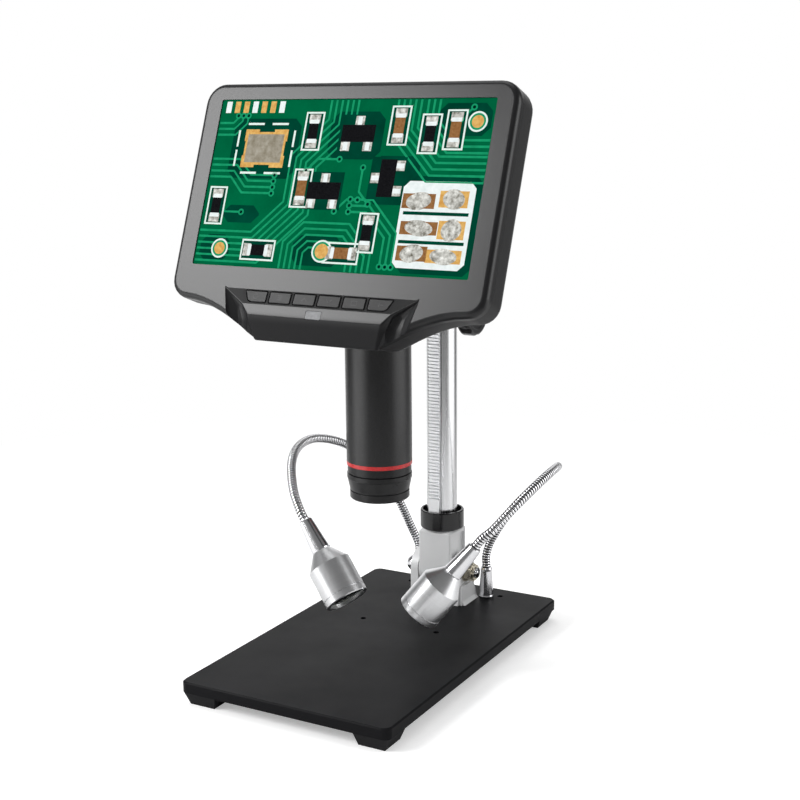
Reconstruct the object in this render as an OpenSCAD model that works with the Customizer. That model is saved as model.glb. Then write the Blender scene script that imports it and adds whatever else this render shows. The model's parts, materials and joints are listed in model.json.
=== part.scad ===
// Digital microscope with a built-in screen: a flat base on four feet, a tilting column with a
// rack, a focusing carriage that carries the camera tube and the screen, and two gooseneck lamps.
// Millimetres, +Z up, the front faces -Y. The origin is on the table under the base's centre.

/* [Base plate] */
// Width of the base plate, left to right
plate_w = 120; // [110:1:140]
// Depth of the base plate, front to back
plate_d = 197; // [190:1:220]
// Thickness of the base plate
plate_t = 5.7; // [5:0.1:8]
// Corner radius of the base plate
plate_corner = 4; // [2:0.5:10]
// Distance from the table to the underside of the plate
foot_h = 7; // [6:0.5:12]
// Side of a foot where it meets the table
foot_tread = 14.5; // [10:0.5:16]
// Radius of the four accessory holes
acc_hole_r = 1.6; // [1.2:0.1:2.5]
// Half the distance between the two middle accessory holes
mid_hole_x = 23; // [18:0.5:40]
// Distance of the middle accessory holes behind the base's centre
mid_hole_y = 19.3; // [10:0.1:30]
// Half the distance between the two rear accessory holes
rear_hole_x = 29.5; // [28:0.5:45]
// Distance of the rear accessory holes behind the base's centre
rear_hole_y = 86.8; // [80:0.1:90]

/* [Column] */
// Distance of the column axis behind the camera axis
column_y = 71; // [69:0.5:74]
// Outer radius of the column tube
column_r = 8.7; // [8.3:0.1:9]
// Wall of the column tube
column_wall = 2.5; // [2.2:0.1:3]
// Length of the column tube
column_len = 212; // [195:1:240]
// Radius of the black collar at the column's foot
collar_r = 12.5; // [12.4:0.1:14]
// Height of the black collar
collar_h = 10.6; // [8:0.1:14]

/* [Tilt pivot] */
// Height of the pivot bolt above the base plate
pivot_h = 18; // [16:0.5:22]
// Radius of the pivot bolt
bolt_r = 3; // [2:0.1:3.5]
// Radius of the bolt's domed head
bolt_head_r = 5; // [4.5:0.1:6]
// Thickness of each bracket ear
ear_t = 4.7; // [4:0.1:6]
// Width and depth of the pivot block
block_w = 20.4; // [19:0.1:22]
// Height of the pivot block's shoulder above the base plate
block_top = 43; // [38:0.5:48]

/* [Rack and pinion] */
// Module of the teeth
tooth_module = 0.6; // [0.5:0.05:0.7]
// Number of teeth of the pinion
pinion_teeth = 18; // [17:1:20]
// Width of the rack
rack_w = 6.6; // [5:0.1:7.4]
// How far the tooth tips stand out of the column tube
rack_proud = 1.8; // [1.6:0.1:2.2]
// Radius of the focus knobs
knob_r = 13.2; // [11:0.1:16]
// Thickness of a focus knob
knob_t = 9; // [6:0.5:12]

/* [Carriage] */
// Height of the pinion axis above the base plate, which sets the focus
focus_h = 171.4; // [140:0.1:190]
// Height of the sleeve on the column
sleeve_h = 32; // [28:1:40]
// Outer radius of the sleeve
sleeve_r = 15.2; // [14.6:0.1:18]
// Wall of the ring that holds the camera tube
ring_wall = 4.8; // [4:0.1:7]
// Height of the arm and its ring
arm_h = 17; // [14:0.5:19]

/* [Camera tube] */
// Outer radius of the camera tube
tube_r = 17.2; // [16:0.1:18.5]
// Wall of the camera tube
tube_wall = 1.8; // [1.5:0.1:2.2]
// Length of the camera tube without its nose and head
tube_len = 97; // [92:1:110]
// Height of the coloured ring
accent_h = 2; // [1:0.1:4]
// Height of the nose below the coloured ring
nose_h = 18.2; // [17:0.1:24]
// Radius of the free thread in the filter ring
filter_r = 12.6; // [11.6:0.1:12.9]

/* [Screen] */
// Width of the screen window
screen_w = 155; // [150:0.5:170]
// Height of the screen window
screen_h = 86.4; // [80:0.5:95]
// Border left and right of the window
border_side = 11; // [9:0.1:14]
// Border above the window
border_top = 9.1; // [7:0.1:12]
// Border below the window, down to the housing's straight lower edge
border_low = 17.3; // [16:0.1:20]
// Depth of the bezel frame
bezel_t = 6; // [6:0.1:8]
// Depth of the rear cover without its bulge
cover_t = 12; // [11:0.1:14]
// Depth of the bulge on the rear cover
bulge_t = 6; // [6:0.1:10]
// How far the chin reaches below the housing's straight lower edge
chin_drop = 17.9; // [17:0.1:22]
// Half the width of the chin's lower edge
chin_half = 34; // [30:0.5:38]
// How much wider the chin is on each side at its back than at its front
chin_flare = 5.5; // [3:0.1:7]
// Tilt of the screen back from upright, at rest
screen_tilt = 21; // [10:1:30]

/* [Buttons] */
// Width of one button
button_w = 12.4; // [11:0.1:12.6]
// Height of one button
button_h = 5.8; // [4.6:0.1:6]
// Distance between two buttons
button_gap = 1.5; // [1.3:0.05:2]
// How much farther in the outer buttons end at their lower corner
button_taper = 2.8; // [1:0.1:4]
// Travel of a button
button_travel = 0.6; // [0.4:0.1:0.6]

/* [Lamps] */
// Half the distance between the two lamp feet
lamp_x = 22.2; // [20:0.1:24]
// Distance of the lamp feet behind the camera axis
lamp_y = 83.4; // [82:0.1:84]
// Height of a lamp foot
lamp_foot_h = 18; // [14:0.5:20]
// Radius of a gooseneck
neck_r = 2.5; // [2:0.1:2.6]
// Distance between the ribs of a gooseneck
rib_pitch = 3; // [2.4:0.1:6]
// Radius of a lamp head
lamp_r = 11.3; // [10.4:0.1:12.5]
// Length of a lamp head's cylinder
lamp_len = 20; // [18:0.5:26]
// Length of the chrome sleeve behind a lamp head
sleeve_len = 18.5; // [16:0.5:26]

/* [Hidden] */
$fn = 64;

// Clearances: fit for still pieces, run for shafts that turn, gap between bodies that move
fit = 0.05;
run = 0.05;
gap = 0.3;
plate_top = foot_h + plate_t;

// Finishes
col_plate = "#26272b";
col_rubber = "#1b1b1d";
col_cast = "#c9cbcd";
col_chrome = "#dfe2e6";
col_alu = "#cfd2d6";
col_black = "#222326";
col_gloss = "#111214";
col_red = "#c1272d";
col_glass = "#9fb4c4";
col_board = "#1c6b3c";
col_steel = "#a9acb0";

// Feet
foot_inset = 1.2;
foot_slope_x = 2.6;
foot_slope_y = 2.2;
foot_slope_in = 2;
foot_x = plate_w / 2 - foot_inset - foot_slope_x - foot_tread / 2;
foot_y = plate_d / 2 - foot_inset - foot_slope_y - foot_tread / 2;
screw_r = 1.5;
screw_head_r = 2.8;
screw_head_h = 2.2;

// Column and rack
column_in = column_r - column_wall;
tip_r = column_r + rack_proud;
rack_back = column_in + 0.7;
pitch = PI * tooth_module;
root_r = tip_r - 2.25 * tooth_module;
collar_floor = block_top + 0.5 * collar_h;
collar_recess = norm([tip_r, rack_w / 2]) + 0.15;
column_top = block_top + column_len;
rack_low = collar_floor + 0.3;
rack_high = column_top - 5;
teeth_low = collar_floor + collar_h + 3;
first_gap = ceil((teeth_low - focus_h) / pitch);
last_gap = floor((rack_high - 3 - focus_h) / pitch);
rack_thin = 0.03;
pinion_r = tooth_module * pinion_teeth / 2;
pinion_tip = pinion_r + tooth_module;
pinion_y = column_y - (tip_r - tooth_module) - pinion_r - fit;
pinion_base = pinion_r * cos(20);
pinion_root = pinion_r - 1.3 * tooth_module;
pinion_thin = 0.3;
shaft_r = 3;

// Pivot
pivot_y = column_y;
block_half = block_w / 2;
ear_in = block_half + gap;
ear_out = ear_in + ear_t;
ear_r = block_half + 0.4;
head_len = 7.4;
nut_len = 5.2;
pad_top = pivot_h - bolt_head_r - 1.6;
bracket_screw_x = 6;
bracket_screw_r = 2;
bracket_screw_y = [pivot_y - 6.5, pivot_y + 6.5];

// Carriage
sleeve_low = focus_h - 7;
sleeve_top = sleeve_low + sleeve_h;
bore_r = tip_r + 1.1;
box_half = 13;
box_front = pinion_y - pinion_tip - 4.4;
box_low = focus_h - 6.8;
box_high = focus_h + 14.6;
boss_r = 7.6;
knob_in = 21.5;
arm_low = focus_h - 2.4;
arm_top = arm_low + arm_h;
arm_half = 9;
arm_screw_x = 6;
arm_mid = (arm_low + arm_top) / 2 + 3;
ring_r = tube_r + ring_wall;
bush_h = 5;

// Camera tube
tube_in = tube_r - tube_wall;
tube_top = focus_h + 24.6;
tube_low = tube_top - tube_len;
nose_top = tube_low - accent_h;
nose_low = nose_top - nose_h;
cell_r = tube_in - fit;
lens_r = 11.4;
filter_seat = filter_r + 1;
cell_top = tube_low + 0.5 * tube_len;

// Screen hinge, then the screen's own frame: x right, y up the screen, z towards the viewer
hinge_y = -(tube_r - 3.4);
hinge_z = tube_top + 12;
hinge_pin_r = 2.5;
hinge_lug_r = 6;
knuckle_half = 9.2;
lug_t = 4.5;
lug_in = knuckle_half + gap;
lug_out = lug_in + lug_t;
hinge_up = 18;
hinge_back = bezel_t + cover_t + bulge_t + 10;
screen_y = hinge_y - hinge_up * sin(screen_tilt) - hinge_back * cos(screen_tilt);
screen_z = hinge_z - hinge_up * cos(screen_tilt) + hinge_back * sin(screen_tilt);

// Housing of the screen
house_half = screen_w / 2 + border_side;
house_top = screen_h + border_top;
house_low = -border_low;
chin_low = house_low - chin_drop;
corner_top = 11;
corner_low = 10;
house_wall = 2.2;
chin_start = house_half - corner_low;
chin_steps = 8;
flare_from = 3.5;
bezel_rings = [[-bezel_t - 1, 0], [-flare_from, 0], [-2.6, 0.1], [-1.2, 0.6], [-0.35, 1.6], [0.25, 4]];
cover_back = -(bezel_t + cover_t);
cover_rings = [[cover_back - 0.4, 1.55], [cover_back + 0.8, 0.5], [cover_back + 3, 0], [-bezel_t + 1, 0]];
panel_side = 3.5;
panel_up = 1.2;
panel_down = 5.5;
boss_x = 60;
boss_up = house_top - 3.8;
boss_down = -11.5;
small_screw_r = 1.2;
small_head_r = 2.2;
bulge_back = cover_back - bulge_t;
bulge_x = 52;
bulge_in = bulge_x - 3;
bulge_low = 4;
bulge_high = 74;
board_back = cover_back - 0.2;
board_t = 1.6;
hinge_plate_t = 2.4;
hinge_plate_x = 22;
hinge_plate_half = 14;
hinge_screw_x = 17;
hinge_screw_y = 10;
board_screw_x = bulge_in - 9;
board_screw_y = [bulge_low + 8, bulge_high - 8];
hinge_screw_at = [hinge_up - hinge_screw_y, hinge_up + hinge_screw_y];
socket_h = 3.4;
sockets = [[18, 9], [31, 9], [46, 14]];
power_y = 60;
power_r = 1.7;

// The console under the window: a ramp for the buttons, a level band and a lower face that leans back
button_n = 6;
button_step = button_w + button_gap;
ramp_lean = 8.9;
cusp_x = 54;
cusp_y = -10.9;
key_top = cusp_y - 0.7;
button_y = key_top - button_h / 2;
ramp_x = 41.5;
ramp_y = key_top - button_h - 1.2;
crest_x = 36.8;
crest_y = ramp_y - 5;
crest_r = 2;
key_proud = 0.25;
button_back = -2.9;
key_floor = -3.6;
stem_w = 8;
stem_h = 2.4;
switch_board = -bezel_t - 1.2;
switch_h = 0.7;
stem_end = switch_board + switch_h + gap + button_travel;
board_half = 47;
ir_y = (ramp_y + crest_y) / 2 - 0.8;
ir_z = 1.4;
ir_lean = 4.6;

// Lamps. The routes run from foot to head, measured from the top of the base plate.
neck_seat = 5;
stud_r = 3;
head_low = sleeve_len + fit;
head_wide = head_low + 8.4;
head_high = head_wide + lamp_len;
lamp_in = lamp_r - 1.7;
led_floor = head_high - 5;
left_end = [-25, -34, 71];
left_aim = [0.635, -0.18, -0.75];
right_end = [58.5, -5, 61];
right_aim = [-0.586, -0.231, -0.777];
left_route = [[-26, 81, 36], [-33, 73, 59], [-42, 61, 79], [-50, 46, 91.5], [-54, 24, 99],
    [-52.5, 4, 99.5], [-46.5, -13, 94.5], [-37, -26.5, 84.5]];
right_route = [[25, 84, 34], [34, 84.5, 49], [46, 84, 62.5], [60, 78, 76.5], [73, 64.5, 88],
    [80.5, 46, 93], [81, 29, 91.5], [76, 11.5, 83.5], [67, -1, 70.5]];

// ---- Shapes that several parts share ----

module on_plate() translate([0, 0, plate_top]) children();

module on_screen() on_plate() translate([0, screen_y, screen_z]) rotate([90 - screen_tilt, 0, 0]) children();

module along_x(x0, x1, y, z, r) translate([x0, y, z]) rotate([0, 90, 0]) cylinder(h = x1 - x0, r = r);

module rounded(w, d, r) {
    square([w - 2 * r, d], center = true);
    square([w, d - 2 * r], center = true);
    for (sx = [-1, 1], sy = [-1, 1]) translate([sx * (w / 2 - r), sy * (d / 2 - r)]) circle(r);
}

// A slab between two corners in the screen's frame, with rounded corners
module slab(x0, x1, y0, y1, z0, z1, r)
    translate([(x0 + x1) / 2, (y0 + y1) / 2, z0]) linear_extrude(z1 - z0) rounded(x1 - x0, y1 - y0, r);

module ring(r_out, r_in, z0, z1) difference() {
    translate([0, 0, z0]) cylinder(h = z1 - z0, r = r_out);
    translate([0, 0, z0 - 1]) cylinder(h = z1 - z0 + 2, r = r_in);
}

// A turned screw along +Z: its head below z = 0, its shank above
module screw(shank_r, shank, head_r, head) {
    cylinder(h = shank, r = shank_r);
    difference() {
        translate([0, 0, -head]) cylinder(h = head, r = head_r);
        translate([0, 0, -head - 0.1]) cylinder(h = 0.6 * head, r = 0.5 * head_r, $fn = 6);
    }
}

module mirrored() {
    children();
    mirror([1, 0, 0]) children();
}

// A closed skin over rings of points, each ring counter-clockwise seen from the last one
module skin(rings) {
    n = len(rings[0]);
    m = len(rings);
    polyhedron(
        points = [for (r = rings, p = r) p],
        faces = concat(
            [[for (j = [0:n - 1]) j]],
            [[for (j = [n - 1:-1:0]) (m - 1) * n + j]],
            [for (i = [0:m - 2], j = [0:n - 1])
                let (a = i * n + j, b = i * n + (j + 1) % n) each [[a, a + n, b + n], [a, b + n, b]]]));
}

// ---- Outline of the screen's housing ----

function arc(cx, cy, r, from, to, n) = [for (i = [0:n])
    let (a = from + (to - from) * i / n) [cx + r * cos(a), cy + r * sin(a)]];

// How much the chin has widened at depth z of the housing
function flare(z) = chin_flare * max(0, min(1, (-z - flare_from) / 11.5));

// Lower edge of the housing, a sweep from the corner to the chin that is g wider and drop deep
function chin_point(i, g, drop) = let (t = 1 - i / chin_steps)
    [chin_half + g + (chin_start - chin_half - g) * (1 - t), house_low - drop * (i == 0 ? 0.965 : pow(t, 1.7))];

function half_outline(g, drop) = concat(
    [[chin_half + g - 4, house_low - drop]],
    [for (i = [0:chin_steps - 1]) chin_point(i, g, drop)],
    arc(chin_start, house_low + corner_low, corner_low, -90, 0, 6),
    arc(house_half - corner_top, house_top - corner_top, corner_top, 0, 90, 7));

function mirror_list(p) = [for (i = [len(p) - 1:-1:0]) [-p[i][0], p[i][1]]];

function outline(g, drop) = let (h = half_outline(g, drop)) concat(h, mirror_list(h));

function drop_at(z) = chin_drop - 0.35 * flare(z);

function unit(v) = v / norm(v);

function inward(a, b) = let (d = unit(b - a)) [-d[1], d[0]];

function inset(p, d) = [for (i = [0:len(p) - 1])
    let (n = len(p), a = inward(p[(i + n - 1) % n], p[i]), b = inward(p[i], p[(i + 1) % n]))
    p[i] + d * (a + b) / (1 + a * b)];

function level(p, z) = [for (q = p) [q[0], q[1], z]];

// ---- Base ----

module base_plate() color(col_plate) difference() {
    hull() {
        translate([0, 0, foot_h]) linear_extrude(plate_t - 0.7) rounded(plate_w, plate_d, plate_corner, $fn = 32);
        translate([0, 0, foot_h]) linear_extrude(plate_t) rounded(plate_w - 1.4, plate_d - 1.4, plate_corner, $fn = 32);
    }
    mirrored() {
        translate([mid_hole_x, mid_hole_y, foot_h - 1]) cylinder(h = plate_t + 2, r = acc_hole_r);
        translate([rear_hole_x, rear_hole_y, foot_h - 1]) cylinder(h = plate_t + 2, r = acc_hole_r);
        translate([lamp_x, lamp_y, foot_h - 1]) cylinder(h = plate_t + 2, r = stud_r + fit);
        for (y = bracket_screw_y) translate([bracket_screw_x, y, foot_h]) {
            translate([0, 0, -1]) cylinder(h = plate_t + 2, r = bracket_screw_r + fit);
            translate([0, 0, -0.01]) cylinder(h = 2.3, r1 = 4.1, r2 = bracket_screw_r + fit);
        }
        for (sy = [-1, 1]) translate([foot_x, sy * foot_y, foot_h - 1]) cylinder(h = 5, r = screw_r + fit);
    }
}

module foot() difference() {
    hull() {
        translate([-foot_tread / 2, -foot_tread / 2, 0]) cube([foot_tread, foot_tread, 0.1]);
        translate([-foot_tread / 2 - foot_slope_in, -foot_tread / 2 - foot_slope_in, foot_h - 0.1])
            cube([foot_tread + foot_slope_in + foot_slope_x, foot_tread + foot_slope_in + foot_slope_y, 0.1]);
    }
    translate([0, 0, -1]) cylinder(h = foot_h + 2, r = screw_r + fit);
    translate([0, 0, -1]) cylinder(h = foot_h - 2.4, r = screw_head_r + 0.4);
}

module base_feet() color(col_rubber) for (sx = [-1, 1], sy = [-1, 1])
    scale([sx, sy, 1]) translate([foot_x, foot_y, 0]) foot();

module foot_screws() color(col_steel) for (sx = [-1, 1], sy = [-1, 1])
    translate([sx * foot_x, sy * foot_y, foot_h - 3.4]) screw(screw_r, 6.8, screw_head_r, screw_head_h);

module column_bracket() color(col_cast) on_plate() difference() {
    union() {
        translate([-ear_out, pivot_y - ear_r, 0]) cube([2 * ear_out, 2 * ear_r, 4.6]);
        mirrored() {
            translate([ear_in, pivot_y - ear_r, 0]) cube([ear_t, 2 * ear_r, pivot_h]);
            along_x(ear_in, ear_out, pivot_y, pivot_h, ear_r);
        }
        nut_side_foot();
    }
    along_x(-ear_out - 1, ear_out + 1, pivot_y, pivot_h, bolt_r + fit);
    mirrored() for (y = bracket_screw_y) translate([bracket_screw_x, y, -1]) cylinder(h = 7, r = bracket_screw_r + fit);
}

// Raised foot under the nut, with a bevelled strip along its lower edge
module nut_side_foot() translate([0, pivot_y - ear_r + 1.5, 0]) {
    rotate([90, 0, 90]) translate([0, 0, ear_out - 1]) linear_extrude(2.8) polygon([[0, 0], [2 * ear_r - 1.5, 0],
        [2 * ear_r - 3, 5.5], [2 * ear_r - 5, 8.5], [ear_r + 2, pad_top - 0.6], [0, pad_top]]);
    translate([0, 2 * ear_r - 3, 0]) rotate([90, 0, 0]) linear_extrude(2 * ear_r - 4)
        polygon([[ear_out - 1, 0], [ear_out + 3.5, 0], [ear_out + 1.8, 2], [ear_out - 1, 2]]);
}

module bracket_screws() color(col_steel) on_plate() mirrored() for (y = bracket_screw_y)
    translate([bracket_screw_x, y, -plate_t]) {
        translate([0, 0, 0.1]) difference() {
            cylinder(h = 2.1, r1 = 3.9, r2 = bracket_screw_r);
            translate([0, 0, -0.1]) cylinder(h = 1.3, r = 1.4, $fn = 6);
        }
        translate([0, 0, 1]) cylinder(h = plate_t + 2.8, r = bracket_screw_r);
    }

module pivot_bolt() color(col_chrome) on_plate() translate([0, pivot_y, pivot_h]) rotate([0, 90, 0]) {
    translate([0, 0, -ear_out - 1.2]) cylinder(h = 2 * ear_out + nut_len + 3.6, r = bolt_r);
    translate([0, 0, -ear_out - fit]) rotate([180, 0, 0]) rotate_extrude() polygon(concat(
        [[0, 0], [bolt_head_r + 1.2, 0], [bolt_head_r + 1.2, 1], [bolt_head_r, 1.1]],
        arc(0, head_len - bolt_head_r, bolt_head_r, 0, 90, 8)));
}

module pivot_nut() color("#b9b09a") on_plate() translate([ear_out + fit, pivot_y, pivot_h]) rotate([0, 90, 0]) difference() {
    union() {
        cylinder(h = 1, r = bolt_head_r + 1);
        cylinder(h = nut_len, r = bolt_head_r + 0.6, $fn = 6);
        translate([0, 0, nut_len]) cylinder(h = 1.2, r = bolt_head_r - 0.6);
    }
    translate([0, 0, -1]) cylinder(h = nut_len + 4, r = bolt_r + fit);
}

module lamp_foot() difference() {
    rotate_extrude() polygon([[0, -plate_t - 3.6], [stud_r - 0.4, -plate_t - 3.6], [stud_r, -plate_t - 3.2], [stud_r, fit],
        [4.2, fit], [4.4, 0.8], [4.2, 1.6], [neck_r + 0.75, lamp_foot_h - 2.2], [neck_r + 0.95, lamp_foot_h - 1.2],
        [neck_r + 0.6, lamp_foot_h], [0, lamp_foot_h]]);
    translate([0, 0, lamp_foot_h - neck_seat]) cylinder(h = neck_seat + 1, r = neck_r + 0.1);
}

module lamp_foot_left() color(col_chrome) on_plate() translate([-lamp_x, lamp_y, 0]) lamp_foot();

module lamp_foot_right() color(col_chrome) on_plate() translate([lamp_x, lamp_y, 0]) lamp_foot();

module lamp_foot_nuts() color(col_steel) on_plate() mirrored() translate([lamp_x, lamp_y, -plate_t - 2.9]) difference() {
    cylinder(h = 2.85, r = 5.6, $fn = 6);
    translate([0, 0, -1]) cylinder(h = 5, r = stud_r + fit);
}

// ---- Goosenecks ----

function between(a, b, c, d, t) = 0.5 * (2 * b + (c - a) * t + (2 * a - 5 * b + 4 * c - d) * t * t
    + (3 * b - a - 3 * c + d) * t * t * t);

function smooth_route(p) = [for (i = [1:len(p) - 3], k = [0:7]) between(p[i - 1], p[i], p[i + 1], p[i + 2], k / 8)];

function lengths(p) = [for (i = 0, s = 0; i < len(p); s = s + (i + 1 < len(p) ? norm(p[i + 1] - p[i]) : 0), i = i + 1) s];

// The same route with its points a fixed distance apart
function even_route(p, step) =
    let (s = lengths(p), total = s[len(s) - 1], n = ceil(total / step))
    [for (k = [0:n]) let (d = total * k / n)
        [for (c = [0:2]) lookup(d, [for (i = [0:len(p) - 1]) [s[i], p[i][c]]])]];

// A ribbed tube: rings square to the route, every second one a little smaller
module ribbed_tube(route, radius, rib, side) {
    n = 10;
    last = len(route) - 1;
    skin([for (i = [0:last])
        let (t = unit(route[min(last, i + 1)] - route[max(0, i - 1)]),
            u = unit(cross(t, side)), v = cross(t, u),
            r = i < 5 || i > last - 5 || i % 2 == 0 ? radius : radius - rib)
        [for (k = [0:n - 1]) let (a = 360 * k / n) route[i] + r * (cos(a) * u + sin(a) * v)]]);
}

// From the seat in the lamp foot through the route's points to the seat behind the lamp head
function neck_route(x, middle, end, aim) =
    let (a = unit(aim), low = [x, lamp_y, lamp_foot_h - neck_seat + 0.2], tip = end + a * (neck_seat - 0.2))
    even_route(concat(
        smooth_route(concat([for (z = [-6:6:12]) low + [0, 0, z]], middle, [for (d = [-6, 0]) end + a * d], [tip, tip + a * 5])),
        [tip]),
        rib_pitch / 2);

module gooseneck_left() color(col_chrome) on_plate()
    ribbed_tube(neck_route(-lamp_x, left_route, left_end, left_aim), neck_r, 0.35, [1, 0.2, 0.1]);

module gooseneck_right() color(col_chrome) on_plate()
    ribbed_tube(neck_route(lamp_x, right_route, right_end, right_aim), neck_r, 0.35, [0.66, 0.2, -0.71]);

// ---- Column ----

module pivot_block() color(col_cast) on_plate() difference() {
    union() {
        translate([0, column_y, pivot_h]) linear_extrude(block_top - pivot_h - 1.8) rounded(block_w, block_w, 1.2);
        hull() {
            translate([0, column_y, block_top - 1.9]) linear_extrude(0.1) rounded(block_w, block_w, 1.2, $fn = 32);
            translate([0, column_y, block_top - 0.1]) linear_extrude(0.1) rounded(block_w - 3.2, block_w - 3.2, 2, $fn = 32);
        }
        along_x(-block_half, block_half, column_y, pivot_h, block_half);
        translate([0, column_y, block_top - 2]) cylinder(h = 17, r = column_in - fit);
    }
    along_x(-block_half - 1, block_half + 1, column_y, pivot_h, bolt_r + run);
    mirrored() side_pocket();
}

// Shallow window-shaped pocket in the side of the block
module side_pocket() translate([block_half - 1.6, column_y, (pivot_h + block_top) / 2 + 2.4]) rotate([90, 0, 90])
    linear_extrude(3) rounded(block_w - 4.6, block_top - pivot_h - 11.5, 1.5);

module column_collar() color(col_black) on_plate() translate([0, column_y, 0]) difference() {
    rotate_extrude() polygon([[column_r + fit, block_top + fit], [collar_r - 0.5, block_top + fit], [collar_r, block_top + 0.6],
        [collar_r, block_top + collar_h - 0.5], [collar_r - 0.4, block_top + collar_h], [collar_recess, block_top + collar_h],
        [collar_recess, collar_floor], [column_r + fit, collar_floor]]);
    translate([0, 0, block_top + 2.6]) rotate([-90, 0, 0]) cylinder(h = collar_r + 1, r = 1.25);
}

module column_rod() color(col_alu) on_plate() translate([0, column_y, 0]) difference() {
    ring(column_r, column_in, block_top + fit, column_top);
    translate([-rack_w / 2 - fit, -column_r - 1, rack_low - 0.1]) cube([rack_w + 2 * fit, column_r + 1 - rack_back, column_len]);
}

module column_rack() color(col_alu) on_plate() translate([-rack_w / 2, column_y, 0]) rotate([90, 0, 90])
    linear_extrude(rack_w) polygon(concat(
        [[-rack_back - fit, rack_high], [-rack_back - fit, rack_low], [-tip_r, rack_low]],
        [for (k = [first_gap:last_gap]) let (z = focus_h + k * pitch,
                tip = pitch / 4 + tooth_module * tan(20) + rack_thin, root = pitch / 4 - 1.25 * tooth_module * tan(20) + rack_thin)
            each [[-tip_r, z - tip], [-root_r, z - root], [-root_r, z + root], [-tip_r, z + tip]]],
        [[-tip_r, rack_high]]));

module column_cap() color(col_black) on_plate() translate([0, column_y, 0]) rotate_extrude()
    polygon([[0, column_top - 10], [column_in - 0.6, column_top - 10], [column_in - fit, column_top - 9], [column_in - fit, column_top + fit],
        [column_r + 0.8, column_top + fit], [column_r + 0.8, column_top + 2.6], [column_r - 0.4, column_top + 4], [0, column_top + 4]]);

// ---- Carriage ----

module carriage_housing() color(col_black) on_plate() difference() {
    union() {
        translate([0, column_y, sleeve_low]) cylinder(h = sleeve_h, r = sleeve_r);
        translate([0, (box_front + column_y) / 2, box_low]) linear_extrude(box_high - box_low)
            rounded(2 * box_half, column_y - box_front, 3);
        along_x(-knob_in + gap, knob_in - gap, pinion_y, focus_h, boss_r);
        translate([0, column_y, sleeve_low + sleeve_h / 2]) rotate([-90, 0, 0]) cylinder(h = sleeve_r + 1.6, r = 5.4);
    }
    translate([0, column_y, sleeve_low - 1]) cylinder(h = sleeve_h + 2, r = bore_r);
    along_x(-knob_in, knob_in, pinion_y, focus_h, shaft_r + run);
    along_x(-rack_w / 2 - 1, rack_w / 2 + 1, pinion_y, focus_h, pinion_tip + 0.8);
    translate([0, column_y, sleeve_low + sleeve_h / 2]) rotate([-90, 0, 0]) cylinder(h = sleeve_r + 3, r = 2.5 + fit);
    mirrored() translate([arm_screw_x, box_front - 1, arm_mid]) rotate([-90, 0, 0]) cylinder(h = 5, r = screw_r + fit);
}

module bush() difference() {
    ring(bore_r - fit, column_r + run, 0, bush_h);
    translate([-rack_w / 2 - 0.6, -bore_r - 1, -1]) cube([rack_w + 1.2, bore_r + 1 - column_r + 2.6, bush_h + 2]);
}

module guide_bushes() color("#d8d4c6") on_plate() for (z = [sleeve_low + 0.4, sleeve_top - bush_h - 0.4])
    translate([0, column_y, z]) bush();

module camera_arm() color(col_black) on_plate() difference() {
    union() {
        translate([0, 0, arm_low]) cylinder(h = arm_h, r = ring_r);
        translate([-arm_half, 0, arm_low]) cube([2 * arm_half, box_front - fit, arm_h]);
        translate([0, 0, (arm_low + arm_top) / 2]) rotate([0, -90, 0]) cylinder(h = ring_r + 2, r = 5);
    }
    translate([0, 0, arm_low - 1]) cylinder(h = arm_h + 2, r = tube_r + fit);
    translate([0, 0, (arm_low + arm_top) / 2]) rotate([0, -90, 0]) cylinder(h = ring_r + 5, r = screw_r + 0.5 + fit);
    mirrored() translate([arm_screw_x, 0, arm_mid]) rotate([-90, 0, 0]) {
        cylinder(h = box_front + 1, r = screw_r + fit);
        cylinder(h = box_front - 6, r = screw_head_r + 0.2);
    }
}

module arm_screws() color(col_steel) on_plate() mirrored() translate([arm_screw_x, box_front - 6, arm_mid]) rotate([-90, 0, 0])
    screw(screw_r, 9.6, screw_head_r, screw_head_h);

// A thumb screw along +Z with a ribbed head
module thumb_screw(shank_r, shank, head_r, head) {
    cylinder(h = shank, r = shank_r);
    difference() {
        translate([0, 0, -head]) rotate_extrude() polygon([[0, 0], [head_r - 0.8, 0], [head_r, 0.8], [head_r, head - 0.8],
            [head_r - 0.8, head], [0, head]]);
        for (a = [0:30:359]) rotate(a) translate([head_r + 0.35, 0, -head - 1]) cylinder(h = head + 2, r = 0.8, $fn = 16);
    }
}

module clamp_screw() color(col_steel) on_plate() translate([-ring_r - 2.2, 0, (arm_low + arm_top) / 2]) rotate([0, 90, 0])
    thumb_screw(screw_r + 0.5, ring_wall + 1.8, 5, 7);

module tension_knob() color(col_gloss) on_plate() translate([0, column_y + sleeve_r + 1.8, sleeve_low + sleeve_h / 2])
    rotate([90, 0, 0]) thumb_screw(2.5, sleeve_r + 1.8 - column_r - 0.3, 5.2, 5.6);

// ---- Pinion and knobs ----

function polar(r, a) = [r * cos(a), r * sin(a)];

function involute(a) = tan(a) * 180 / PI - a;

// Half the angle that a tooth takes up at radius r
function tooth_half(r) = 90 / pinion_teeth - pinion_thin + involute(20) - involute(acos(pinion_base / r));

module pinion_profile() {
    rs = [for (i = [0:3]) pinion_base + (pinion_tip - pinion_base) * i / 3 + 0.001];
    polygon([for (k = [0:pinion_teeth - 1]) let (c = 360 * k / pinion_teeth) each concat(
        [polar(pinion_root, c - tooth_half(rs[0]))],
        [for (i = [0:3]) polar(rs[i], c - tooth_half(rs[i]))],
        [for (i = [3:-1:0]) polar(rs[i], c + tooth_half(rs[i]))],
        [polar(pinion_root, c + tooth_half(rs[0]))])]);
}

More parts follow.
